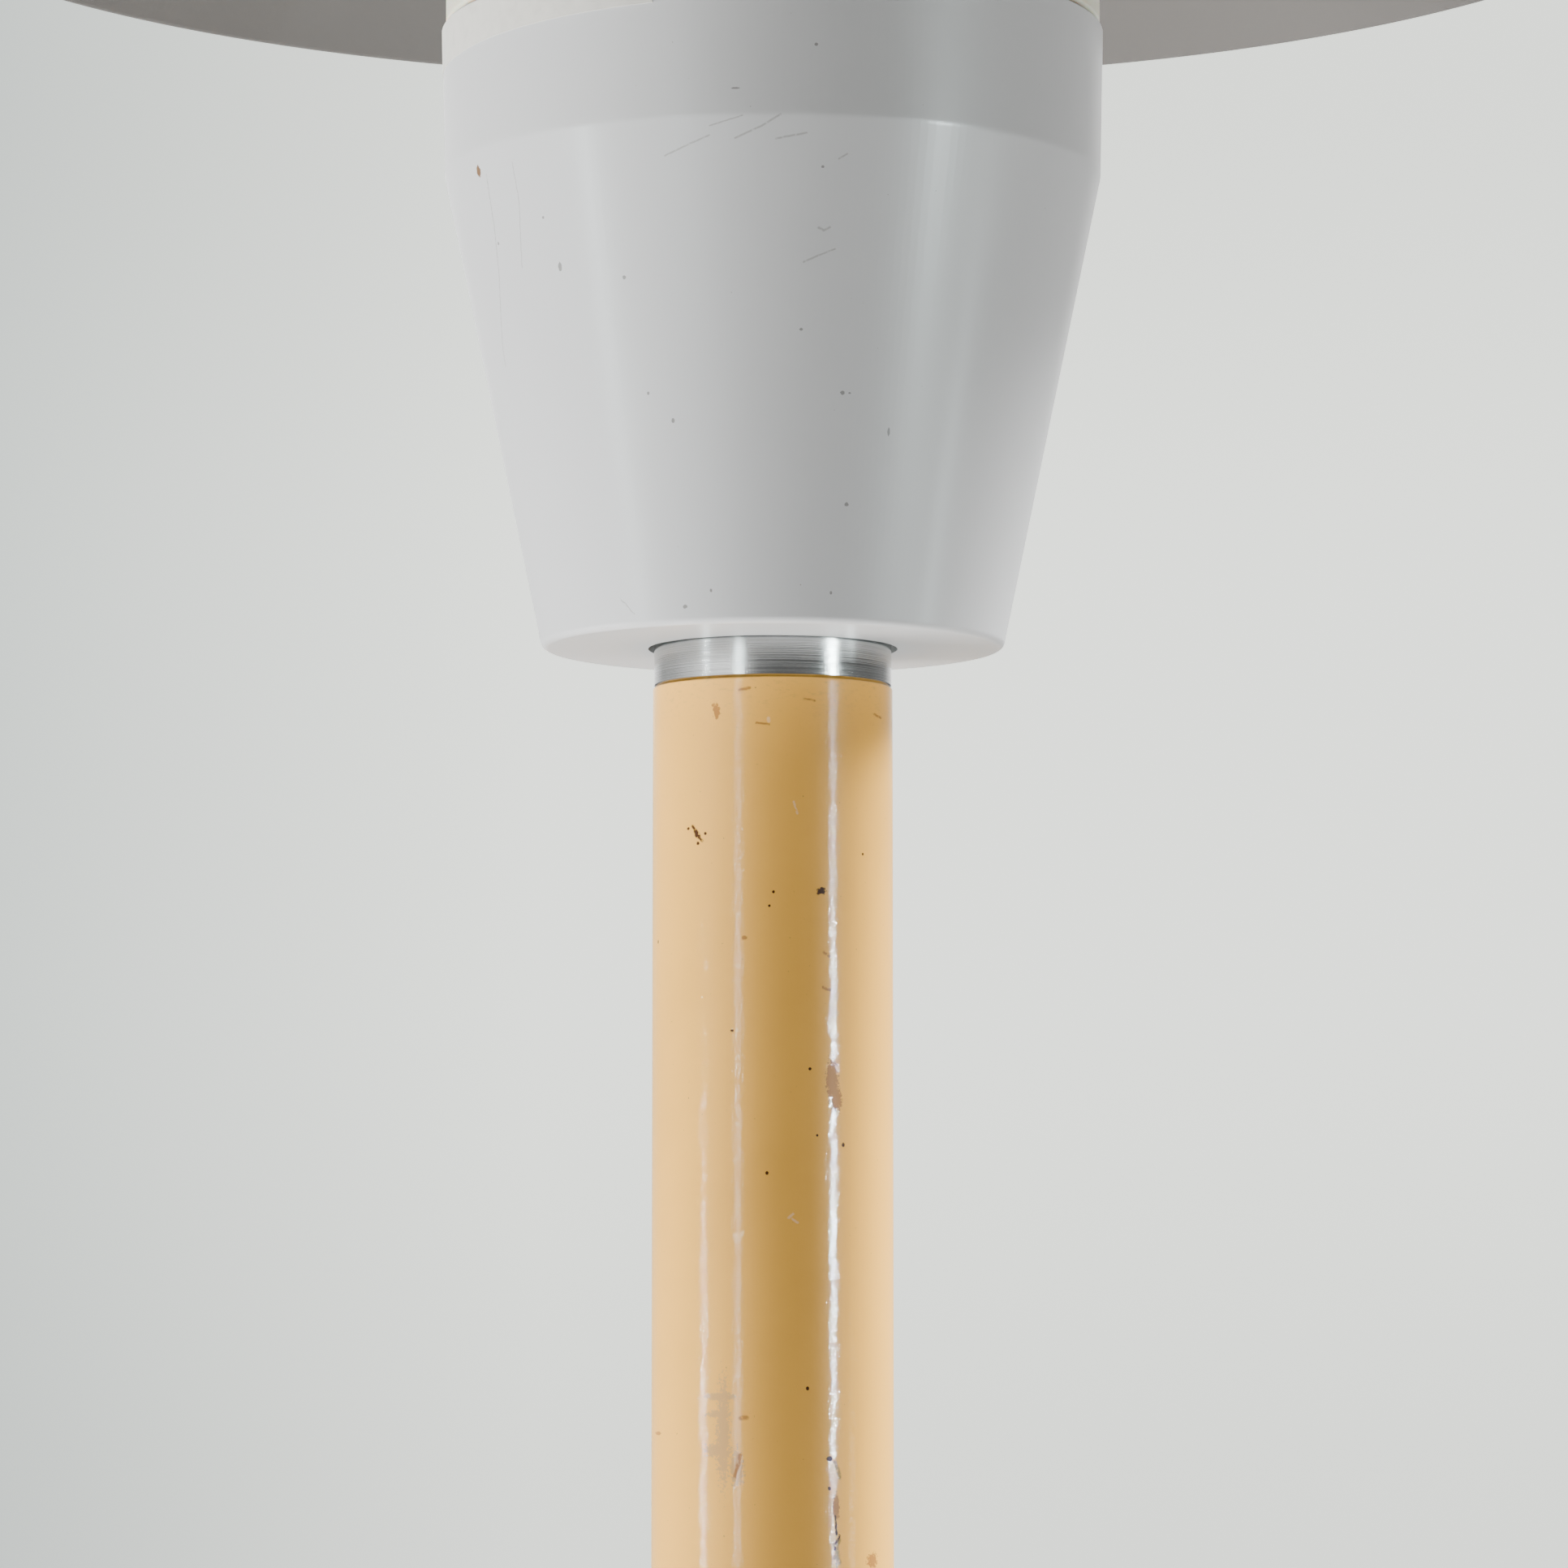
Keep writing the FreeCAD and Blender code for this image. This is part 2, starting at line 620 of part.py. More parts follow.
def terminal_block():
    """An insulating block with a wire way and a screw well for each core."""
    low = Z_PLATE - BRACKET_LEG
    face_y = BRACKET_Y + BRACKET_T
    block = Part.makeBox(BLOCK_W, BLOCK_D, BLOCK_H, FreeCAD.Vector(-BLOCK_W / 2, face_y, low))
    for x in terminal_places():
        way_y = face_y + (BLOCK_D - TERMINAL_WELL) / 2
        block = block.cut(moved(disc(TERMINAL_WIRE_R, low, low + BLOCK_H), x, way_y))
        block = block.cut(terminal_bar(TERMINAL_SCREW_R + PRESS_FIT, x, 0, TERMINAL_WELL))
    return block


def terminal_screws():
    screws = [terminal_bar(TERMINAL_SCREW_R, x, TERMINAL_WELL - TERMINAL_SCREW_H, TERMINAL_WELL)
              for x in terminal_places()]
    return Part.makeCompound(screws)


def stem_sleeve():
    """The distance tube that holds the shade's flange above the socket plate."""
    return washer(STEM_HOLE_R, STEM_HOLE_R + SLEEVE_WALL, Z_PLATE_TOP, Z_FLANGE_HUB)


# ---- shade ----

def shade_flange():
    return turned(
        (STEM_HOLE_R, Z_FLANGE_HUB), (FLANGE_HUB_R, Z_FLANGE_HUB), (FLANGE_HUB_R, Z_FLANGE),
        (FLANGE_R, Z_FLANGE, NUT_ROUND), (FLANGE_R, Z_SHADE_SEAT), (STEM_HOLE_R, Z_SHADE_SEAT))


def dome_point(arc_r, angle):
    """A point on an arc about the dome's centre; the angle is from straight up, outwards."""
    return FreeCAD.Vector(SHADE_SEAT_R + arc_r * math.sin(angle), 0,
                          DOME_CENTRE_Z + arc_r * math.cos(angle))


def dome_arc(arc_r, start, end):
    return Part.Arc(dome_point(arc_r, start), dome_point(arc_r, (start + end) / 2),
                    dome_point(arc_r, end)).toShape()


def shade():
    """A shallow spun dome with a flat seat round the stem and a rounded edge."""
    inner_r = DOME_ARC_R - SHADE_WALL
    rim_out = dome_point(DOME_ARC_R, DOME_RIM_ANGLE)
    rim_in = dome_point(inner_r, DOME_RIM_ANGLE)
    bead = dome_point(DOME_ARC_R - SHADE_WALL / 2, DOME_RIM_ANGLE)
    bead += FreeCAD.Vector(math.cos(DOME_RIM_ANGLE), 0, -math.sin(DOME_RIM_ANGLE)) * SHADE_WALL / 2
    hole_top = FreeCAD.Vector(STEM_HOLE_R, 0, Z_SHADE_TOP)
    hole_low = FreeCAD.Vector(STEM_HOLE_R, 0, Z_SHADE_SEAT)
    edges = [
        Part.LineSegment(hole_low, hole_top).toShape(),
        Part.LineSegment(hole_top, dome_point(DOME_ARC_R, 0)).toShape(),
        dome_arc(DOME_ARC_R, 0, DOME_RIM_ANGLE),
        Part.Arc(rim_out, bead, rim_in).toShape(),
        dome_arc(inner_r, DOME_RIM_ANGLE, 0),
        Part.LineSegment(dome_point(inner_r, 0), hole_low).toShape()]
    return spun(Part.Face(Part.Wire(edges)))


def shade_washer():
    return washer(STEM_HOLE_R, SHADE_WASHER_R, Z_SHADE_TOP, Z_UPPER_RING)


# ---- upper pole ----

def upper_ring():
    return washer(TUBE_BORE, RING_R, Z_UPPER_RING, Z_UPPER, RING_CHAMFER)


def upper_plug():
    return washer(STEM_HOLE_R, PLUG_R, Z_UPPER_RING, Z_UPPER_RING + UPPER_PLUG_L, PLUG_CHAMFER)


def cross_pin(radius, half_length):
    """A pin along X through the spring seat and the tube's two walls."""
    place = FreeCAD.Vector(-half_length, 0, Z_SPRING - SPRING_SEAT_H / 2)
    return Part.makeCylinder(radius, 2 * half_length, place, FreeCAD.Vector(1, 0, 0))


def upper_tube():
    return washer(TUBE_BORE, TUBE_R, Z_UPPER, Z_UPPER_TOP).cut(
        cross_pin(PIN_R + PRESS_FIT, TUBE_R + 1))


def spring_seat():
    return disc(PLUG_R, Z_SPRING - SPRING_SEAT_H, Z_SPRING).cut(
        cross_pin(PIN_R + PRESS_FIT, TUBE_R + 1))


def seat_pin():
    return cross_pin(PIN_R, TUBE_R - RING_STEP)


def guide_bush():
    return washer(GUIDE_BORE, PLUG_R, Z_GUIDE, Z_GUIDE_TOP)


def top_ring():
    return washer(TUBE_BORE, RING_R, Z_UPPER_TOP, Z_GUIDE_TOP, RING_CHAMFER)


# ---- spring ----

SPRING_R = PLUNGER_R - SPRING_INSET
QUARTERS = 4 * SPRING_COILS


def spring_stations():
    """Quarter-turn points of the wire's middle line with the height gained per radian there.

    The first and last turn are closed up to the end pitch, and the rest share what is left.
    """
    step = math.pi / 2
    room = SPRING_L - 2 * (SPRING_WIRE_R + SEAT_GAP)
    opened = [min(max(min(q, QUARTERS - q) - 4, 0) / 2, 1) for q in range(QUARTERS + 1)]
    share = sum((opened[q] + opened[q + 1]) / 2 for q in range(QUARTERS)) * step
    end_rate = SPRING_END_PITCH / (2 * math.pi)
    extra = (room - end_rate * QUARTERS * step) / share
    z = Z_SPRING + SPRING_WIRE_R + SEAT_GAP
    stations = []
    for q in range(QUARTERS + 1):
        rate = end_rate + extra * opened[q]
        if q:
            z += (rate + stations[-1][2]) / 2 * step
        stations.append((q * step, z, rate))
    return stations


def on_spring(angle, z, rate):
    """The point of the wire's middle line at a station, and the direction that it runs in."""
    point = FreeCAD.Vector(SPRING_R * math.cos(angle), SPRING_R * math.sin(angle), z)
    ahead = FreeCAD.Vector(-SPRING_R * math.sin(angle), SPRING_R * math.cos(angle), rate)
    return point, ahead.normalize()


def tangent_arc(start, direction, end):
    """The arc that leaves a point in a given direction and ends at another."""
    chord = end - start
    along = direction * chord.dot(direction)
    side = chord - along
    radius = chord.dot(chord) / (2 * side.Length)
    centre = start + side.normalize() * radius
    middle = centre + ((start + end) / 2 - centre).normalize() * radius
    return Part.Arc(start, middle, end).toShape()


def biarc(start, leave, end, arrive):
    """Two arcs that meet in line, from one point and direction to another."""
    chord = end - start
    both = leave + arrive
    a = both.dot(both) - 4
    b = -2 * chord.dot(both)
    reach = (-b - math.sqrt(b * b - 4 * a * chord.dot(chord))) / (2 * a)
    if reach < 0:
        reach = (-b + math.sqrt(b * b - 4 * a * chord.dot(chord))) / (2 * a)
    meet = (start + leave * reach + end - arrive * reach) / 2
    first = tangent_arc(start, leave, meet)
    last = tangent_arc(end, arrive * -1, meet)
    last.reverse()
    return [first, last]


def spring():
    """A round-wire compression spring with closed ends, one unbroken sweep."""
    stations = [on_spring(*station) for station in spring_stations()]
    edges = []
    for (start, leave), (end, arrive) in zip(stations, stations[1:]):
        edges += biarc(start, leave, end, arrive)
    path = Part.Wire(edges)
    start, direction = stations[0]
    section = Part.Wire(Part.makeCircle(SPRING_WIRE_R, start, direction))
    return path.makePipeShell([section], True, False)


def spring_gap():
    """The least free gap between neighbouring turns of the spring, along Z."""
    heights = [z for _, z, _ in spring_stations()]
    return min(high - low for low, high in zip(heights, heights[4:])) - 2 * SPRING_WIRE_R


# ---- plunger ----

def stop_collar():
    return washer(PLUNGER_R + PRESS_FIT, TUBE_BORE - COLLAR_PLAY, Z_COLLAR, Z_COLLAR + COLLAR_H)


def spring_cap():
    """The plug in the plunger's lower end, on whose flange the spring pushes."""
    bore_r = PLUNGER_BORE - PRESS_FIT
    return turned(
        (0, Z_SPRING_TOP), (PLUNGER_R, Z_SPRING_TOP), (PLUNGER_R, Z_PLUNGER),
        (bore_r, Z_PLUNGER), (bore_r, Z_PLUNGER + CAP_SPIGOT_H), (0, Z_PLUNGER + CAP_SPIGOT_H))


def plunger_tube():
    return washer(PLUNGER_BORE, PLUNGER_R, Z_PLUNGER, Z_PLUNGER_TOP)


def plunger_plug():
    spigot_r = PLUNGER_BORE - PRESS_FIT
    low = Z_PLUNGER_TOP - PLUNGER_PLUG_L
    return turned(
        (STUD_HOLE_R, low), (spigot_r, low), (spigot_r, Z_PLUNGER_TOP),
        (PLUNGER_R, Z_PLUNGER_TOP), (PLUNGER_R, Z_STUD, NUT_ROUND), (STUD_HOLE_R, Z_STUD))


def ball_stud():
    """The steel stud whose ball the ceiling cone tilts on."""
    collar_top = Z_STUD + STUD_COLLAR_H
    shank = turned(
        (0, Z_STUD - STUD_L), (STUD_R, Z_STUD - STUD_L), (STUD_R, Z_STUD),
        (STUD_COLLAR_R, Z_STUD), (STUD_COLLAR_R, collar_top, NUT_ROUND),
        (STUD_NECK_R, collar_top), (STUD_NECK_R, Z_BALL), (0, Z_BALL))
    return shank.fuse(Part.makeSphere(BALL_R, FreeCAD.Vector(0, 0, Z_BALL))).removeSplitter()


# ---- ceiling cone ----

def ball_liner():
    """The nylon shell between the ball and its seat, free to slip on both."""
    centre = FreeCAD.Vector(0, 0, Z_BALL)
    shell = Part.makeSphere(LINER_R, centre).cut(Part.makeSphere(LINER_BORE, centre))
    return shell.common(disc(LINER_R + 1, Z_BALL - LINER_BELOW, Z_BALL + LINER_ABOVE))


def ball_retainer():
    """The threaded ring that closes the ball's seat from below."""
    ring = washer(RETAINER_MOUTH_R, RETAINER_R, Z_BALL - RETAINER_BELOW, Z_BALL - RETAINER_STEP)
    return ring.cut(Part.makeSphere(SOCKET_BALL_R, FreeCAD.Vector(0, 0, Z_BALL)))


def ceiling_cone():
    low = Z_CEILING_CONE
    band = Z_CEILING_PAD - BASE_BAND
    body = turned(*cone_corners(Z_CEILING_PAD, band, low, 0))
    seat = Part.makeSphere(SOCKET_BALL_R, FreeCAD.Vector(0, 0, Z_BALL))
    return body.cut(seat).cut(disc(RETAINER_R + PRESS_FIT, low, Z_BALL - RETAINER_STEP))


def ceiling_pad():
    top = Z_CEILING_PAD + PAD_H
    return turned((0, Z_CEILING_PAD), (PAD_R, Z_CEILING_PAD), (PAD_R, top, PAD_ROUND), (0, top))


PIECES = [
    floor_pad, foot_cone, foot_screw, lock_nut, adjusting_nut,
    thrust_washer, foot_ring, foot_plug, lower_tube, cable_grommet, tube_coupler, middle_tube,
    pole_plug, spacer_ring,
    cup, cup_bush, diffuser_seat, diffuser,
    stem, hub_washer, hub_nut, plate_nut, socket_plate, lamp_sockets, socket_screws,
    bulb_caps, bulb_glass, terminal_bracket, bracket_screws, terminal_block, terminal_screws,
    stem_sleeve, shade_flange, shade, shade_washer,
    upper_ring, upper_plug, upper_tube, spring_seat, seat_pin, guide_bush, top_ring,
    spring, stop_collar, spring_cap, plunger_tube, plunger_plug, ball_stud,
    ball_liner, ball_retainer, ceiling_cone, ceiling_pad,
]


def main():
    os.makedirs("parts", exist_ok=True)
    for piece in PIECES:
        shape = piece()
        shape.exportStep("parts/%s.step" % piece.__name__)
        box = shape.BoundBox
        print("%-17s solids %d  volume %9.1f mm3  z %7.1f to %7.1f"
              % (piece.__name__, len(shape.Solids), shape.Volume, box.ZMin, box.ZMax))
    print("least gap between the spring's turns: %.2f mm" % spring_gap())


if __name__ == "__main__":
    main()
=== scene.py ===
"""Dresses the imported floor-to-ceiling pole lamp for a close studio picture of its head."""
import math

import bmesh
import bpy
from bpy.props import FloatProperty, FloatVectorProperty, IntProperty, PointerProperty
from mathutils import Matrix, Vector


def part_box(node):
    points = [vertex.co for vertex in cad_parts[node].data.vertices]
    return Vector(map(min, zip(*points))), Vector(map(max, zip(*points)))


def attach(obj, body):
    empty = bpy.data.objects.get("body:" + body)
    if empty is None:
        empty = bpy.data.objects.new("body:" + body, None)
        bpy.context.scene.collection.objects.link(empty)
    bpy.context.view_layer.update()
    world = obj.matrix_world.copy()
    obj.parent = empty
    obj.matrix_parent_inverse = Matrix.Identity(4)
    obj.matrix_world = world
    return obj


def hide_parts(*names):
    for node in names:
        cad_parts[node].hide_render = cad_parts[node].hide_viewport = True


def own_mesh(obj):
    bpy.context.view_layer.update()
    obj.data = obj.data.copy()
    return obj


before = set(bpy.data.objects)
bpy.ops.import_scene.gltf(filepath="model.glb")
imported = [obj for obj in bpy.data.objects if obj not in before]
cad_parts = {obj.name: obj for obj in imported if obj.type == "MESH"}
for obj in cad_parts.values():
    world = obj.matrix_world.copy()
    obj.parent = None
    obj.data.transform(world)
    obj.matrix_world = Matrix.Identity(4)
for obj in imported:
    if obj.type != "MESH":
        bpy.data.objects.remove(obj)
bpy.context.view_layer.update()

bl_info = {
    "name": "Pole lamp",
    "version": (1, 0, 0),
    "blender": (4, 5, 0),
    "location": "View3D > Sidebar > Lamp",
    "description": "Builds the finish of a floor-to-ceiling pole lamp and the studio round it",
    "category": "Object",
}

MM = 0.001
PHOTO_SIDE = 1932           # pixels, both ways
CREASE_DEG = 30.0           # edges of turned pieces that are sharper than this stay crisp


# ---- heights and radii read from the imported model, in millimetres ----

def low_z(node):
    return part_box(node)[0].z / MM


def high_z(node):
    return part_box(node)[1].z / MM


def outer_r(node):
    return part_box(node)[1].x / MM


TUBE_TOP = high_z("middle_tube")
CUP_FLOOR = low_z("cup")
CUP_RIM = high_z("cup")
SHADE_TOP = high_z("shade")


# ---- settings that a user would change ----

def length_setting(name, text, value):
    return FloatProperty(name=name, description=text, default=value * MM, unit="LENGTH", precision=5)


def colour_setting(name, text, value):
    return FloatVectorProperty(name=name, description=text, default=value, subtype="COLOR",
                               size=3, min=0.0, max=1.0)


class LampSizes(bpy.types.PropertyGroup):
    tube_r: length_setting("Tube radius", "Outside radius of the lacquered tube", outer_r("middle_tube"))
    tube_wall: length_setting("Tube wall", "Thickness of the tube's wall", 1.5)
    ring_step: length_setting("Ring step", "How much less radius a ring has than the tube", 0.15)
    cup_base_r: length_setting("Cup base radius", "Radius at the cup's floor", 28.9)
    cup_knee_r: length_setting("Cup knee radius", "Radius at the knee", 41.3)
    cup_knee_h: length_setting("Cup knee height", "Height of the knee above the cup's floor", 59.6)
    cup_rim_r: length_setting("Cup rim radius", "Radius at the cup's rim", outer_r("cup"))
    cup_wall: length_setting("Cup wall", "Thickness of the cup's wall", 1.5)
    cup_hole_r: length_setting("Cup hole radius", "Radius of the hole in the cup's floor", 15.6)
    shade_r: length_setting("Shade radius", "Where the dome meets its rounded edge", 118.0)
    shade_seat_r: length_setting("Shade seat radius", "Radius of the dome's flat middle", 20.5)
    shade_rise: length_setting("Shade rise", "Height of the dome", 41.0)
    shade_wall: length_setting("Shade wall", "Thickness of the dome", 1.4)
    steps_around: IntProperty(name="Steps around", description="Faces round a turned piece",
                              default=240, min=24, max=720)


class LampColours(bpy.types.PropertyGroup):
    cream: colour_setting("Cream lacquer", "Pole tubes", (0.93, 0.49, 0.085))
    grey: colour_setting("Grey lacquer", "Cup and cones", (0.60, 0.61, 0.61))
    shade: colour_setting("Shade outside", "Lacquer on the shade's outside", (0.52, 0.52, 0.51))
    # The inside colour is much darker than the outside: painted shade for the dim underside of the dome.
    inside_painted_shade: colour_setting("Shade inside", "Dull lining under the shade", (0.108, 0.102, 0.095))
    opal: colour_setting("Opal drum", "Yellowed diffuser", (0.80, 0.77, 0.62))
    aluminium: colour_setting("Aluminium", "Turned rings", (0.60, 0.61, 0.61))
    steel: colour_setting("Steel", "Plunger, nuts and screws", (0.55, 0.55, 0.54))
    rubber: colour_setting("Rubber", "Pads and grommet", (0.018, 0.018, 0.018))


class LampStudio(bpy.types.PropertyGroup):
    camera_distance: length_setting("Camera distance", "From the pole's axis", 732.15)
    camera_height: length_setting("Camera height", "Above the floor", 1417.785)
    camera_pitch: FloatProperty(name="Camera pitch", description="Upward tilt of the view",
                                default=math.radians(5.119), subtype="ANGLE")
    camera_yaw: FloatProperty(name="Camera yaw", description="Turn of the view to the right",
                              default=math.radians(0.110), subtype="ANGLE")
    focal_pixels: FloatProperty(name="Focal length", description="In pixels of the photograph",
                                default=7246.6)
    low_power: FloatProperty(name="Low panels", description="What the low soft panels' shares refer to",
                             default=71.0, subtype="POWER")
    high_power: FloatProperty(name="High panels", description="What the high soft panels' shares refer to",
                              default=323.0, subtype="POWER")
    wall_power: FloatProperty(name="Walls", description="What the pale walls' shares refer to",
                              default=10.0, subtype="POWER")
    strip_power: FloatProperty(name="Strips", description="What the narrow lights' shares refer to",
                               default=15.0, subtype="POWER")


# ---- node trees ----

class Graph:
    """Adds nodes to a tree and links what is given to their sockets."""

    def __init__(self, tree):
        self.tree = tree

    def node(self, kind, sockets=None, **settings):
        made = self.tree.nodes.new(kind)
        for name, value in settings.items():
            setattr(made, name, value)
        for key, value in (sockets or {}).items():
            self.feed(made.inputs[key], value)
        return made

    def feed(self, socket, value):
        if isinstance(value, bpy.types.NodeSocket):
            self.tree.links.new(value, socket)
        else:
            socket.default_value = value

    def math(self, operation, *values):
        made = self.node("ShaderNodeMath", operation=operation)
        for socket, value in zip(made.inputs, values):
            self.feed(socket, value)
        return made.outputs[0]

    def vector(self, operation, *values):
        made = self.node("ShaderNodeVectorMath", operation=operation)
        for socket, value in zip(made.inputs, values):
            self.feed(socket, value)
        scalar = operation in ("DOT_PRODUCT", "LENGTH", "DISTANCE")
        return made.outputs["Value" if scalar else "Vector"]

    def scaled(self, vector, factor):
        return self.node("ShaderNodeVectorMath", {0: vector, "Scale": factor},
                         operation="SCALE").outputs["Vector"]

    def ramp(self, value, low, high, to_low=0.0, to_high=1.0, smooth=True):
        return self.node("ShaderNodeMapRange", {
            "Value": value, "From Min": low, "From Max": high, "To Min": to_low, "To Max": to_high},
            interpolation_type="SMOOTHSTEP" if smooth else "LINEAR").outputs[0]

    def noise(self, where, scale, detail=2.0, roughness=0.5):
        return self.node("ShaderNodeTexNoise", {
            "Vector": where, "Scale": scale, "Detail": detail, "Roughness": roughness}).outputs[0]

    def mix(self, share, first, second, blend="MIX"):
        made = self.node("ShaderNodeMix", data_type="RGBA", blend_type=blend)
        self.feed(made.inputs[0], share)
        for index, value in ((6, first), (7, second)):
            self.feed(made.inputs[index], (*value, 1.0) if isinstance(value, tuple) and len(value) == 3
                      else value)
        return made.outputs[2]

    def xyz(self, vector):
        parts = self.node("ShaderNodeSeparateXYZ", {0: vector})
        return parts.outputs[0], parts.outputs[1], parts.outputs[2]

    def join(self, x, y, z):
        return self.node("ShaderNodeCombineXYZ", {0: x, 1: y, 2: z}).outputs[0]


class Finish(Graph):
    """A material: its graph, its shader and the place on the object that patterns read."""

    def __init__(self, name, **shader):
        self.material = bpy.data.materials.new(name)
        self.material.use_nodes = True
        super().__init__(self.material.node_tree)
        self.tree.nodes.clear()
        self.shader = self.node("ShaderNodeBsdfPrincipled", shader)
        self.node("ShaderNodeOutputMaterial", {"Surface": self.shader.outputs[0]})
        self.place = self.node("ShaderNodeTexCoord").outputs["Object"]
        self.mm = self.scaled(self.place, 1.0 / MM)

    def colour(self, value):
        self.feed(self.shader.inputs["Base Color"], value)

    def bump(self, height, distance):
        return self.node("ShaderNodeBump", {
            "Height": height, "Distance": distance * MM, "Strength": 1.0}).outputs[0]

    def stretched(self, x, y, z):
        return self.vector("MULTIPLY", self.mm, (x, y, z))

    def unrolled(self, radius):
        """The surface laid flat: millimetres round the axis from the front, and height."""
        x, y, z = self.xyz(self.mm)
        angle = self.math("ARCTAN2", x, self.math("MULTIPLY", y, -1.0))
        return self.join(self.math("MULTIPLY", angle, radius), z, 0.0)


def wear_group(name, inputs):
    """A shader group that ends in a mask: its tree, its graph and its inputs."""
    tree = bpy.data.node_groups.new(name, "ShaderNodeTree")
    for label, kind in inputs:
        tree.interface.new_socket(name=label, in_out="INPUT", socket_type="NodeSocket" + kind)
    tree.interface.new_socket(name="Mask", in_out="OUTPUT", socket_type="NodeSocketFloat")
    graph = Graph(tree)
    return tree, graph, graph.node("NodeGroupInput").outputs


def mark_group():
    """A worn spot on the surface laid flat: an ellipse whose edge is torn by noise."""
    tree, graph, given = wear_group("Mark", [
        ("Place", "Vector"), ("Centre", "Vector"), ("Size", "Vector"), ("Ragged", "Float")])
    off = graph.vector("SUBTRACT", given["Place"], given["Centre"])
    reach = graph.vector("LENGTH", graph.vector("DIVIDE", off, given["Size"]))
    torn = graph.math("SUBTRACT", graph.noise(given["Place"], 2.6, 3.0, 0.7), 0.5)
    edge = graph.math("ADD", reach, graph.math("MULTIPLY", torn, given["Ragged"]))
    graph.node("NodeGroupOutput", {0: graph.ramp(edge, 1.0, 0.75)})
    return tree


def scratch_group():
    """A thin line between two points of the surface laid flat, bent and broken by noise."""
    tree, graph, given = wear_group("Scratch", [
        ("Place", "Vector"), ("Start", "Vector"), ("End", "Vector"), ("Width", "Float"),
        ("Wave", "Float")])
    bend = graph.math("MULTIPLY", graph.math("SUBTRACT", graph.noise(given["Place"], 1.1), 0.5),
                      given["Wave"])
    bent = graph.vector("ADD", given["Place"], graph.join(bend, graph.math("MULTIPLY", bend, 0.6), 0.0))
    line = graph.vector("SUBTRACT", given["End"], given["Start"])
    off = graph.vector("SUBTRACT", bent, given["Start"])
    share = graph.node("ShaderNodeClamp", {0: graph.math(
        "DIVIDE", graph.vector("DOT_PRODUCT", off, line), graph.vector("DOT_PRODUCT", line, line))})
    away = graph.vector("DISTANCE", off, graph.scaled(line, share.outputs[0]))
    whole = graph.ramp(away, given["Width"], graph.math("MULTIPLY", given["Width"], 0.3))
    broken = graph.ramp(graph.noise(given["Place"], 2.2, 2.0), 0.3, 0.5, 0.35, 1.0)
    graph.node("NodeGroupOutput", {0: graph.math("MULTIPLY", whole, broken)})
    return tree


def worn(finish, place, tone, tint, marks=(), scratches=(), strength=1.0):
    """Lays marks and scratches of one tint over a colour, and gives the mask that they share."""
    masks = [finish.node("ShaderNodeGroup", {
        "Place": place, "Centre": (x, z, 0.0), "Ragged": ragged,
        "Size": (half_w * WEAR_SPREAD, half_h * WEAR_SPREAD, 1.0)},
        node_tree=tree_named("Mark", mark_group)) for x, z, half_w, half_h, ragged in marks]
    masks += [finish.node("ShaderNodeGroup", {
        "Place": place, "Start": (x0, z0, 0.0), "End": (x1, z1, 0.0), "Wave": wave,
        "Width": width * WEAR_SPREAD},
        node_tree=tree_named("Scratch", scratch_group)) for x0, z0, x1, z1, width, wave in scratches]
    whole = masks[0].outputs[0]
    for mask in masks[1:]:
        whole = finish.math("MAXIMUM", whole, mask.outputs[0])
    return finish.mix(finish.math("MULTIPLY", whole, strength), tone, tint), whole


def flecked(finish, base, dark, light, scale, spread):
    """A base colour with slow, soft drift towards a darker and a lighter one."""
    drift = finish.noise(finish.mm, scale, 3.0, 0.55)
    darker = finish.mix(finish.ramp(drift, 0.5, 0.5 + spread), base, dark)
    return finish.mix(finish.ramp(drift, 0.5, 0.5 - spread), darker, light)


def shaded(colour, factor):
    return tuple(channel * factor for channel in colour)


# Wear on the tube below the cup: x is millimetres round the tube from the front, z is height.
# A mark is (x, z, half width, half height, ragged); a scratch is (x, z, x, z, width, wave).
# The sizes are those of a mark's core, and WEAR_SPREAD widens them all to what is seen of it.
WEAR_SPREAD = 1.9
TUBE_FLAT_R = 15.0
TUBE_CHIPS = [
    (-10.14, 1476.2, 0.16, 0.3, 1.6), (-11.49, 1476.9, 0.14, 0.1, 1.0), (-8.77, 1476.15, 0.12, 0.12, 1.0),
    (-9.88, 1475.0, 0.13, 0.13, 1.0), (6.12, 1468.97, 0.32, 0.26, 2.2), (-0.7, 1434.5, 0.13, 0.13, 0.8),
    (4.29, 1408.4, 0.13, 0.15, 0.8), (7.17, 1399.9, 0.24, 0.2, 1.2), (7.17, 1396.3, 0.14, 0.14, 1.0),
    (-0.41, 1467.1, 0.1, 0.1, 0.6), (0.09, 1468.8, 0.1, 0.12, 0.6), (4.62, 1447.2, 0.12, 0.12, 0.6),
    (12.47, 1473.8, 0.1, 0.1, 0.6), (-5.06, 1451.9, 0.13, 0.1, 0.8), (5.56, 1439.1, 0.09, 0.09, 0.6),
    (9.19, 1438.0, 0.13, 0.16, 1.0), (-18.6, 1463.3, 0.14, 0.14, 0.8)]
TUBE_CRACKS = [
    (-10.8, 1477.15, -10.1, 1476.4, 0.13, 0.5), (-10.27, 1476.52, -9.76, 1475.79, 0.2, 0.5),
    (-9.89, 1475.9, -9.26, 1475.27, 0.15, 0.5), (5.69, 1468.66, 6.55, 1469.28, 0.14, 0.6),
    (7.96, 1392.97, 8.2, 1390.8, 0.1, 0.6), (8.5, 1390.6, 7.84, 1388.9, 0.12, 0.9)]
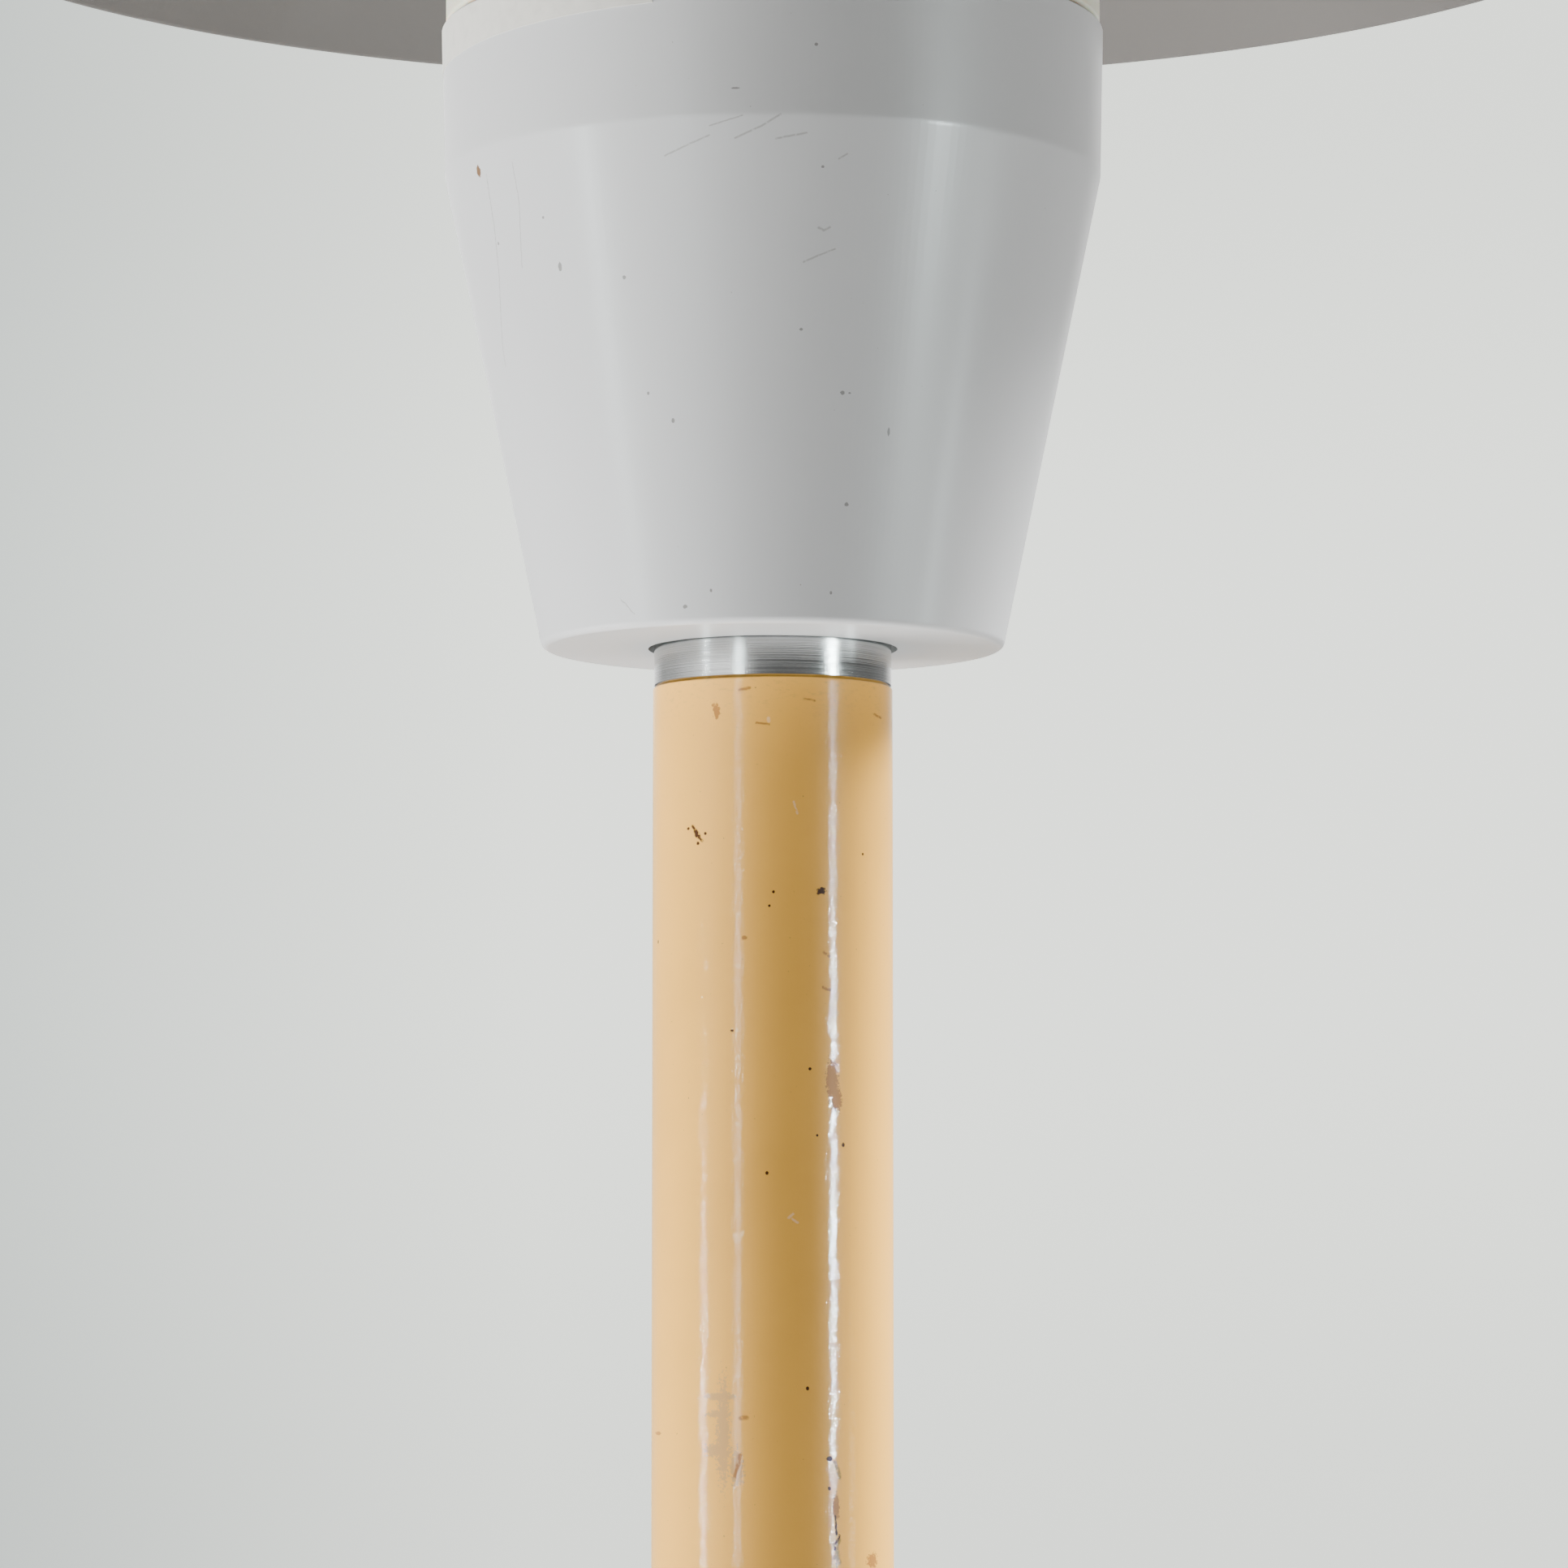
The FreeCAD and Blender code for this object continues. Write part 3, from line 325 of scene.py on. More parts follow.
TUBE_BROWN_MARKS = [
    (7.6, 1445.8, 0.5, 1.5, 2.4), (8.2, 1443.6, 0.45, 0.9, 2.4), (8.1, 1394.0, 0.3, 0.9, 2.2),
    (-7.16, 1491.1, 0.28, 0.5, 2.4), (14.2, 1387.4, 0.6, 0.55, 2.6), (-3.5, 1463.2, 0.2, 0.16, 1.6),
    (-18.3, 1402.8, 0.6, 0.14, 1.6)]
TUBE_BROWN_LINES = [
    (7.2, 1447.1, 8.0, 1444.4, 0.16, 0.7), (7.8, 1444.4, 8.8, 1442.8, 0.16, 0.6),
    (6.44, 1461.5, 7.22, 1461.0, 0.14, 0.5), (6.33, 1457.2, 7.33, 1456.9, 0.14, 0.6),
    (-4.05, 1493.7, -2.9, 1493.9, 0.15, 0.6), (-7.6, 1492.0, -6.9, 1490.8, 0.13, 0.8),
    (-3.9, 1404.85, -3.2, 1404.9, 0.22, 0.4), (-3.9, 1400.4, -4.7, 1397.7, 0.18, 0.7),
    (-2.0, 1489.6, -0.4, 1489.4, 0.1, 0.6), (3.9, 1492.6, 5.3, 1492.4, 0.09, 0.6),
    (14.9, 1491.3, 16.6, 1491.0, 0.13, 0.5)]
TUBE_SCUFFS = [
    (-6.7, 1407.4, 1.3, 0.28, 2.0), (-6.8, 1405.3, 1.0, 0.3, 2.4), (-6.2, 1403.0, 0.5, 3.6, 3.0),
    (-6.9, 1400.9, 1.1, 0.5, 2.6), (-6.1, 1399.2, 0.35, 0.4, 2.0), (-4.4, 1398.8, 0.5, 1.3, 2.8)]
TUBE_GREEN_LINES = [
    (8.0, 1399.5, 8.6, 1397.6, 0.2, 0.6), (8.0, 1393.0, 8.2, 1390.6, 0.09, 0.5),
    (7.8, 1389.6, 8.5, 1387.4, 0.26, 0.9), (8.5, 1390.0, 7.9, 1387.9, 0.2, 0.8),
    (8.1, 1387.2, 8.2, 1384.8, 0.12, 0.6)]
TUBE_PALE_LINES = [
    (1.9, 1429.0, 2.45, 1429.5, 0.12, 0.6), (2.4, 1428.9, 3.1, 1428.5, 0.12, 0.6),
    (-0.55, 1490.1, -0.5, 1489.8, 0.16, 0.2), (2.6, 1479.9, 3.0, 1478.4, 0.09, 0.7)]

# Wear on the cup, on its surface laid flat at the radius of the upper band.
CUP_FLAT_R = 41.5
CUP_SPECKS = [
    (-31.02, 1543.8, 0.22, 0.3, 1.4), (-20.64, 1541.6, 0.16, 0.14, 0.8), (-32.8, 1549.9, 0.12, 0.1, 0.8),
    (10.13, 1527.5, 0.2, 0.15, 1.0), (11.2, 1527.5, 0.12, 0.06, 1.0), (-15.0, 1524.4, 0.15, 0.17, 0.8),
    (17.73, 1523.2, 0.12, 0.3, 1.0), (11.71, 1514.4, 0.2, 0.14, 0.9), (-15.3, 1502.4, 0.24, 0.14, 0.9),
    (-10.5, 1504.2, 0.13, 0.12, 0.8), (3.9, 1534.8, 0.15, 0.1, 0.9), (5.2, 1568.3, 0.13, 0.12, 0.8),
    (9.9, 1503.9, 0.13, 0.12, 0.8), (6.2, 1553.8, 0.12, 0.1, 0.8), (-4.5, 1563.0, 0.3, 0.07, 1.2),
    (-18.6, 1527.8, 0.12, 0.12, 0.8), (-43.5, 1548.2, 0.13, 0.13, 0.9)]
CUP_BROWN_SPOT = (-45.3, 1557.3, 0.32, 0.42, 1.2)
CUP_HAIRLINES = [
    (-43.4, 1556.6, -43.8, 1550.2, 0.08, 0.3), (-43.8, 1550.2, -44.9, 1544.4, 0.08, 0.3),
    (-44.9, 1544.4, -48.0, 1536.4, 0.08, 0.3), (-48.0, 1536.4, -48.4, 1533.8, 0.08, 0.3),
    (-37.1, 1557.1, -37.0, 1552.2, 0.06, 0.3), (-37.0, 1552.2, -38.7, 1544.6, 0.06, 0.3),
    (-13.5, 1555.4, -10.3, 1556.6, 0.08, 0.4), (-10.3, 1556.6, -7.8, 1557.5, 0.08, 0.4),
    (-4.6, 1557.1, -1.3, 1558.5, 0.09, 0.4), (-1.3, 1558.5, 0.9, 1559.8, 0.09, 0.4),
    (0.4, 1557.0, 4.1, 1557.7, 0.09, 0.4), (-7.7, 1558.6, -3.7, 1559.7, 0.07, 0.5),
    (8.2, 1554.8, 9.2, 1555.4, 0.08, 0.4), (5.9, 1546.7, 6.6, 1546.4, 0.1, 0.3),
    (6.6, 1546.4, 7.4, 1546.8, 0.1, 0.3), (4.1, 1542.7, 6.1, 1543.5, 0.09, 0.4),
    (6.1, 1543.5, 8.2, 1544.3, 0.08, 0.4), (-28.0, 1503.9, -25.3, 1501.9, 0.07, 0.4)]


def orange_peel(f, fine, coat):
    """The fine dimples of a sprayed lacquer, on the colour coat and on the gloss over it."""
    peel = f.noise(f.mm, 1.0, 2.0, 0.5)
    grain = f.noise(f.mm, 3.4, 1.0, 0.5)
    height = f.math("ADD", peel, f.math("MULTIPLY", grain, 0.6))
    f.feed(f.shader.inputs["Normal"], f.bump(height, fine))
    f.feed(f.shader.inputs["Coat Normal"], f.bump(height, coat))


def cream_lacquer(colours):
    """Aged gloss lacquer with orange peel, chips and scuffs, on the pole's tubes; the gloss is gone
    where it is chipped or browned."""
    f = Finish("cream lacquer", Roughness=0.35, **{
        "Specular IOR Level": 0.1, "Coat Weight": 0.55, "Coat Roughness": 0.02})
    base = tuple(colours.cream)
    place = f.unrolled(TUBE_FLAT_R)
    tone = flecked(f, base, shaded(base, 0.94), shaded(base, 1.04), 0.05, 0.3)
    # Just under the ring the tube darkens towards brown in blotches: partly grime, partly painted shade cast
    # by the ring and the cup.
    near_ring = f.ramp(f.xyz(place)[1], TUBE_TOP - 8.0, TUBE_TOP - 0.5)
    grime_and_ring_shade = f.ramp(f.noise(f.stretched(0.9, 0.9, 2.2), 1.0, 4.0, 0.7), 0.5, 0.75)
    tone = f.mix(f.math("MULTIPLY", f.math("MULTIPLY", grime_and_ring_shade, near_ring), 0.3), tone, (0.33, 0.2, 0.1))
    specks = f.ramp(f.noise(f.mm, 2.6, 2.0, 0.6), 0.75, 0.785)
    tone = f.mix(specks, tone, (0.25, 0.14, 0.06))
    tone, _ = worn(f, place, tone, (0.26, 0.2, 0.17), TUBE_SCUFFS, strength=0.45)
    tone, browned = worn(f, place, tone, (0.33, 0.13, 0.04), TUBE_BROWN_MARKS, TUBE_BROWN_LINES, 0.8)
    tone, _ = worn(f, place, tone, (0.15, 0.12, 0.02), (), TUBE_GREEN_LINES, 0.75)
    tone, _ = worn(f, place, tone, (1.0, 0.72, 0.45), (), TUBE_PALE_LINES, 0.5)
    tone, chipped = worn(f, place, tone, (0.06, 0.022, 0.008), TUBE_CHIPS, TUBE_CRACKS, 1.0)
    f.colour(tone)
    bare = f.math("MAXIMUM", chipped, browned)
    f.feed(f.shader.inputs["Coat Weight"], f.ramp(bare, 0.2, 0.6, 0.55, 0.0))
    orange_peel(f, 0.008, 0.03)
    return f.material


def grey_lacquer(colours, name="grey lacquer", carries_wear=True):
    """Smooth light grey lacquer; the cup's carries specks and hairlines."""
    f = Finish(name, Roughness=0.42, **{"Coat Weight": 0.35, "Coat Roughness": 0.22})
    base = tuple(colours.grey)
    tone = flecked(f, base, shaded(base, 0.97), shaded(base, 1.02), 0.03, 0.3)
    specks = f.ramp(f.noise(f.mm, 1.7, 2.0, 0.6), 0.77, 0.8)
    tone = f.mix(specks, tone, (0.24, 0.21, 0.17))
    if carries_wear:
        place = f.unrolled(CUP_FLAT_R)
        tone, _ = worn(f, place, tone, (0.2, 0.19, 0.17), (), CUP_HAIRLINES, 0.5)
        tone, _ = worn(f, place, tone, (0.13, 0.12, 0.11), CUP_SPECKS, (), 0.75)
        tone, _ = worn(f, place, tone, (0.16, 0.07, 0.01), [CUP_BROWN_SPOT], (), 0.95)
    f.colour(tone)
    wave = f.noise(f.mm, 0.12, 1.0)
    f.feed(f.shader.inputs["Normal"], f.bump(wave, 0.05))
    return f.material


def shade_lacquer(colours):
    """Lacquer outside; inside, a duller lining darkened as painted shade, the two told apart by which way
    the face looks.
    """
    f = Finish("shade lacquer", Roughness=0.5)
    upwards = f.xyz(f.node("ShaderNodeNewGeometry").outputs["Normal"])[2]
    # Faces that look down take the darker inside colour, which is painted shade.
    outside = f.ramp(upwards, -0.1, 0.1)
    light, dark = tuple(colours.shade), tuple(colours.inside_painted_shade)
    outer = flecked(f, light, shaded(light, 0.96), shaded(light, 1.03), 0.05, 0.3)
    inner_painted_shade = flecked(f, dark, shaded(dark, 0.95), shaded(dark, 1.04), 0.05, 0.3)
    f.colour(f.mix(outside, inner_painted_shade, outer))
    f.feed(f.shader.inputs["Roughness"], f.ramp(upwards, -0.1, 0.1, 0.6, 0.38))
    f.feed(f.shader.inputs["Normal"], f.bump(f.noise(f.mm, 1.1, 2.0), 0.02))
    return f.material


def turned_aluminium(colours):
    """Bare metal with the lathe's fine rings."""
    f = Finish("turned aluminium", Metallic=1.0, Roughness=0.12)
    base = tuple(colours.aluminium)
    rings = f.noise(f.stretched(0.012, 0.012, 8.0), 1.0, 3.0, 0.7)
    f.colour(f.mix(f.ramp(rings, 0.35, 0.65), shaded(base, 0.78), base))
    f.feed(f.shader.inputs["Normal"], f.bump(rings, 0.012))
    f.feed(f.shader.inputs["Roughness"], f.ramp(rings, 0.3, 0.7, 0.08, 0.2))
    return f.material


def metal(name, colour, roughness):
    """A bare metal with slow, faint tarnish."""
    f = Finish(name, Metallic=1.0, Roughness=roughness)
    tarnish = f.noise(f.mm, 0.12, 4.0, 0.6)
    f.colour(f.mix(f.ramp(tarnish, 0.4, 0.7), colour, shaded(colour, 0.88)))
    f.feed(f.shader.inputs["Roughness"], f.ramp(tarnish, 0.3, 0.7, roughness * 0.93, roughness * 1.1))
    return f.material


def moulded(name, colour, roughness, grain=0.01):
    """A moulded or blown material with a grain that is so many millimetres deep."""
    f = Finish(name, Roughness=roughness)
    f.colour(flecked(f, colour, shaded(colour, 0.93), shaded(colour, 1.05), 0.5, 0.25))
    f.feed(f.shader.inputs["Normal"], f.bump(f.noise(f.mm, 4.0, 2.0), grain))
    return f.material


def opal(colours):
    """The yellowed diffuser's dull plastic, which lets a little light in."""
    f = Finish("opal drum", Roughness=0.35, **{"Subsurface Weight": 0.35, "Subsurface Scale": 0.004})
    base = tuple(colours.opal)
    f.colour(flecked(f, base, shaded(base, 0.94), shaded(base, 1.03), 0.05, 0.25))
    return f.material


def finishes(colours):
    """Every material by the name of the record's slot that it paints."""
    aluminium, steel = tuple(colours.aluminium), tuple(colours.steel)
    return {
        "cream_lacquer": cream_lacquer(colours),
        "grey_lacquer": grey_lacquer(colours),
        "shade_lacquer": shade_lacquer(colours),
        "cone_lacquer": grey_lacquer(colours, "cone lacquer", False),
        "turned_aluminium": turned_aluminium(colours),
        "plain_aluminium": metal("plain aluminium", shaded(aluminium, 0.9), 0.38),
        "steel": metal("steel", steel, 0.26),
        "black_rubber": moulded("black rubber", tuple(colours.rubber), 0.7, grain=0.03),
        "opal": opal(colours),
        "nylon": moulded("nylon", (0.70, 0.69, 0.63), 0.45),
        "bakelite": moulded("bakelite", (0.055, 0.03, 0.02), 0.3),
        "terminal_resin": moulded("terminal resin", (0.62, 0.60, 0.54), 0.4),
        "brass": metal("brass", (0.66, 0.47, 0.19), 0.28),
        "bulb": moulded("bulb glass", (0.86, 0.86, 0.84), 0.25, grain=0.002),
        "fibre": moulded("fibre", (0.10, 0.07, 0.05), 0.6),
        "spring_steel": metal("spring steel", shaded(steel, 0.8), 0.32),
    }


PAINTED = {}


def paint(slot):
    """The material of a record's slot, made with its fellows the first time that one is asked for."""
    if not PAINTED:
        PAINTED.update(finishes(bpy.context.scene.lamp_colours))
    return PAINTED[slot]


# ---- turned pieces ----

def rounded(corners):
    """An outline in radius and height, with the corners that give a radius rounded."""
    places = [Vector((corner[0], corner[1])) for corner in corners]
    points = []
    for index, corner in enumerate(corners):
        here = places[index]
        if len(corner) == 2:
            points.append(here)
            continue
        back = (places[index - 1] - here).normalized()
        ahead = (places[(index + 1) % len(places)] - here).normalized()
        half = back.angle(ahead) / 2
        reach = corner[2] / math.tan(half)
        middle = here + (back + ahead).normalized() * (corner[2] / math.sin(half))
        start, end = here + back * reach - middle, here + ahead * reach - middle
        turn = math.pi - 2 * half
        steps = max(4, math.ceil(math.degrees(turn) / 9))
        side = 1 if start.x * end.y - start.y * end.x > 0 else -1
        for step in range(steps + 1):
            angle = side * turn * step / steps
            points.append(middle + Vector((
                start.x * math.cos(angle) - start.y * math.sin(angle),
                start.x * math.sin(angle) + start.y * math.cos(angle))))
    return [(point.x, point.y) for point in points]


def new_tree(name, inputs):
    """A modifier's tree with named inputs, and its graph, inputs and output."""
    tree = bpy.data.node_groups.new(name, "GeometryNodeTree")
    tree.is_modifier = True
    tree.interface.new_socket(name="Geometry", in_out="INPUT", socket_type="NodeSocketGeometry")
    for label, kind, value in inputs:
        socket = tree.interface.new_socket(name=label, in_out="INPUT", socket_type=kind)
        if value is not None:
            socket.default_value = value
    tree.interface.new_socket(name="Geometry", in_out="OUTPUT", socket_type="NodeSocketGeometry")
    graph = Graph(tree)
    given = graph.node("NodeGroupInput").outputs
    return tree, graph, given


def finish_tree(graph, given, geometry, crease):
    """Welds, smooths up to the crease angle, realizes, paints and hands over the geometry."""
    welded = graph.node("GeometryNodeMergeByDistance", {"Geometry": geometry, "Distance": 1e-6})
    edge = graph.node("GeometryNodeInputMeshEdgeAngle").outputs[0]
    smooth = graph.node("GeometryNodeSetShadeSmooth", {
        "Geometry": welded.outputs[0], "Shade Smooth": graph.math("LESS_THAN", edge, crease)},
        domain="EDGE")
    real = graph.node("GeometryNodeRealizeInstances", {"Geometry": smooth.outputs[0]})
    painted = graph.node("GeometryNodeSetMaterial", {
        "Geometry": real.outputs[0], "Material": given["Finish"]})
    graph.node("NodeGroupOutput", {0: painted.outputs[0]})


def wrapped_grid(graph, around, along):
    """A grid with the number of its row and column: rows go round, columns go along."""
    grid = graph.node("GeometryNodeMeshGrid", {
        "Vertices X": graph.math("ADD", around, 1.0), "Vertices Y": graph.math("ADD", along, 1.0)})
    index = graph.node("GeometryNodeInputIndex").outputs[0]
    width = graph.math("ADD", along, 1.0)
    row = graph.math("FLOOR", graph.math("DIVIDE", graph.math("ADD", index, 0.5), width))
    column = graph.math("SUBTRACT", index, graph.math("MULTIPLY", row, width))
    angle = graph.math("MULTIPLY", graph.math("DIVIDE", row, around), 2 * math.pi)
    return grid.outputs[0], angle, column


def placed(graph, grid, radius, angle, height):
    x = graph.math("MULTIPLY", radius, graph.math("COSINE", angle))
    y = graph.math("MULTIPLY", radius, graph.math("SINE", angle))
    return graph.node("GeometryNodeSetPosition", {
        "Geometry": grid, "Position": graph.join(x, y, height)}).outputs[0]


def lathe_tree():
    """Spins the outline held by the object's vertices, and cuts flutes where asked."""
    tree, graph, given = new_tree("Lathe", [
        ("Outline points", "NodeSocketInt", 4), ("Steps around", "NodeSocketInt", 240),
        ("Crease", "NodeSocketFloat", math.radians(CREASE_DEG)),
        ("Flutes", "NodeSocketInt", 0), ("Flute radius", "NodeSocketFloat", 0.0),
        ("Flute circle", "NodeSocketFloat", 1.0), ("Finish", "NodeSocketMaterial", None)])
    grid, angle, column = wrapped_grid(graph, given["Steps around"], given["Outline points"])
    which = graph.math("MODULO", graph.math("ADD", column, 0.25), given["Outline points"])
    corner = graph.node("GeometryNodeSampleIndex", {
        "Geometry": given["Geometry"], "Value": graph.node("GeometryNodeInputPosition").outputs[0],
        "Index": graph.math("FLOOR", which)}, data_type="FLOAT_VECTOR").outputs[0]
    radius, _, height = graph.xyz(corner)
    # The flute nearest to this angle is a round bar on the flute circle; its near side is the cut.
    pitch = graph.math("DIVIDE", 2 * math.pi, graph.math("MAXIMUM", given["Flutes"], 1.0))
    off = graph.math("PINGPONG", graph.math("ABSOLUTE", angle), graph.math("MULTIPLY", pitch, 0.5))
    across = graph.math("MULTIPLY", given["Flute circle"], graph.math("SINE", off))
    along = graph.math("MULTIPLY", given["Flute circle"], graph.math("COSINE", off))
    under = graph.math("SUBTRACT", graph.math("POWER", given["Flute radius"], 2.0),
                       graph.math("POWER", across, 2.0))
    cut = graph.math("SUBTRACT", along, graph.math("SQRT", graph.math("MAXIMUM", under, 0.0)))
    fluted = graph.math("MULTIPLY", graph.math("GREATER_THAN", under, 0.0),
                        graph.math("GREATER_THAN", given["Flutes"], 0.5))
    limit = graph.math("ADD", cut, graph.math("MULTIPLY", graph.math("SUBTRACT", 1.0, fluted), 10.0))
    shaped = graph.math("MINIMUM", radius, limit)
    finish_tree(graph, given, placed(graph, grid, shaped, angle, height), given["Crease"])
    return tree


def thread_tree():
    """A screw thread: rows round the axis whose radius follows a rising vee."""
    tree, graph, given = new_tree("Thread", [
        ("Radius", "NodeSocketFloat", 0.01), ("Depth", "NodeSocketFloat", 0.0012),
        ("Pitch", "NodeSocketFloat", 0.0025), ("Low end", "NodeSocketFloat", 0.0),
        ("High end", "NodeSocketFloat", 0.1), ("Steps around", "NodeSocketInt", 48),
        ("Steps per turn", "NodeSocketInt", 8), ("Finish", "NodeSocketMaterial", None)])
    length = graph.math("SUBTRACT", given["High end"], given["Low end"])
    turns = graph.math("DIVIDE", length, given["Pitch"])
    rows = graph.math("ADD", graph.math("CEIL", graph.math("MULTIPLY", turns, given["Steps per turn"])), 2.0)
    grid, angle, column = wrapped_grid(graph, given["Steps around"], rows)
    share = graph.node("ShaderNodeClamp", {"Value": graph.math(
        "DIVIDE", graph.math("SUBTRACT", column, 1.0), graph.math("SUBTRACT", rows, 2.0))}).outputs[0]
    height = graph.math("ADD", given["Low end"], graph.math("MULTIPLY", share, length))
    phase = graph.math("SUBTRACT", graph.math("DIVIDE", height, given["Pitch"]),
                       graph.math("DIVIDE", angle, 2 * math.pi))
    vee = graph.math("PINGPONG", graph.math("ADD", phase, 1000.0), 0.5)
    deep = graph.math("MULTIPLY", graph.math("MULTIPLY", vee, 2.0), given["Depth"])
    from_end = graph.math("MINIMUM", graph.math("SUBTRACT", height, given["Low end"]),
                          graph.math("SUBTRACT", given["High end"], height))
    chamfer = graph.math("MAXIMUM", graph.math("SUBTRACT", given["Depth"], from_end), 0.0)
    radius = graph.math("SUBTRACT", given["Radius"], graph.math("MAXIMUM", deep, chamfer))
    inside = graph.math("MULTIPLY", graph.math("GREATER_THAN", column, 0.5),
                        graph.math("LESS_THAN", column, graph.math("SUBTRACT", rows, 0.5)))
    radius = graph.math("MULTIPLY", radius, inside)
    finish_tree(graph, given, placed(graph, grid, radius, angle, height), math.radians(50))
    return tree


def from_tree(name, tree, seed, slot, **inputs):
    """A plain mesh object made by a tree from a seed mesh, with its normals outwards."""
    carrier = bpy.data.objects.new(name + "_seed", seed)
    bpy.context.scene.collection.objects.link(carrier)
    modifier = carrier.modifiers.new("Shape", "NODES")
    modifier.node_group = tree
    wanted = {key.replace("_", " ").lower(): value for key, value in inputs.items()}
    wanted["finish"] = paint(slot)
    for item in tree.interface.items_tree:
        if item.in_out == "INPUT" and item.name.lower() in wanted:
            modifier[item.identifier] = wanted[item.name.lower()]
    evaluated = carrier.evaluated_get(bpy.context.evaluated_depsgraph_get())
    mesh = bpy.data.meshes.new_from_object(evaluated)
    bpy.data.objects.remove(carrier)
    if not mesh.polygons:
        raise RuntimeError(f"{name}: its node tree made no faces")
    mesh.name = name
    piece = bpy.data.objects.new(name, mesh)
    bpy.context.scene.collection.objects.link(piece)
    return piece


def tree_named(name, maker):
    return bpy.data.node_groups.get(name) or maker()


def turned(name, corners, body, slot, replaces=(), steps=None, **flutes):
    """A turned piece from an outline in millimetres that runs up its outside."""
    points = rounded(corners)
    seed = bpy.data.meshes.new(name + "_outline")
    seed.from_pydata([(r * MM, 0.0, z * MM) for r, z in points], [], [])
    piece = from_tree(name, tree_named("Lathe", lathe_tree), seed, slot, outline_points=len(points),
                      steps_around=steps or bpy.context.scene.lamp_sizes.steps_around, **flutes)
    return settle(piece, body, replaces)


def settle(piece, body, replaces=()):
    """Puts a finished piece on its body and hides what it stands for."""
    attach(piece, body)
    if replaces:
        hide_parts(*replaces)
    return piece


def sizes_mm():
    """The size settings by name, in millimetres."""
    held = bpy.context.scene.lamp_sizes
    return {key: getattr(held, key) / MM for key in LampSizes.__annotations__ if key != "steps_around"}


# ---- operators ----

class LAMP_OT_carried(bpy.types.Operator):
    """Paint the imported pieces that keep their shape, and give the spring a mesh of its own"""
    bl_idname = "lamp.carried"
    bl_label = "Packed pieces"

    def execute(self, context):
        for node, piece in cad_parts.items():
            if not piece.material_slots:
                raise RuntimeError(f"the packed piece {node} has no material")
            for held in piece.material_slots:
                held.material = paint(held.material.name)
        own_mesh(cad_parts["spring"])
        return {"FINISHED"}


class LAMP_OT_pole(bpy.types.Operator):
    """Build the tube and the turned ring under the cup"""
    bl_idname = "lamp.pole"
    bl_label = "Pole"

    def execute(self, context):
        size = sizes_mm()
        radius, low = size["tube_r"], low_z("middle_tube")
        bore = radius - size["tube_wall"]
        low_edge, top_edge = 0.1, 0.22
        turned("pole_middle", [
            (bore, low), (radius, low, low_edge), (radius, TUBE_TOP, top_edge), (bore, TUBE_TOP)],
            "pole", "cream_lacquer", ["middle_tube"])
        ring_r, ring_top, chamfer = radius - size["ring_step"], high_z("spacer_ring"), 0.35
        turned("pole_ring", [
            (bore, TUBE_TOP), (ring_r - chamfer, TUBE_TOP), (ring_r, TUBE_TOP + chamfer),
            (ring_r, ring_top - chamfer), (ring_r - chamfer, ring_top), (bore, ring_top)],
            "pole", "turned_aluminium", ["spacer_ring"])
        return {"FINISHED"}


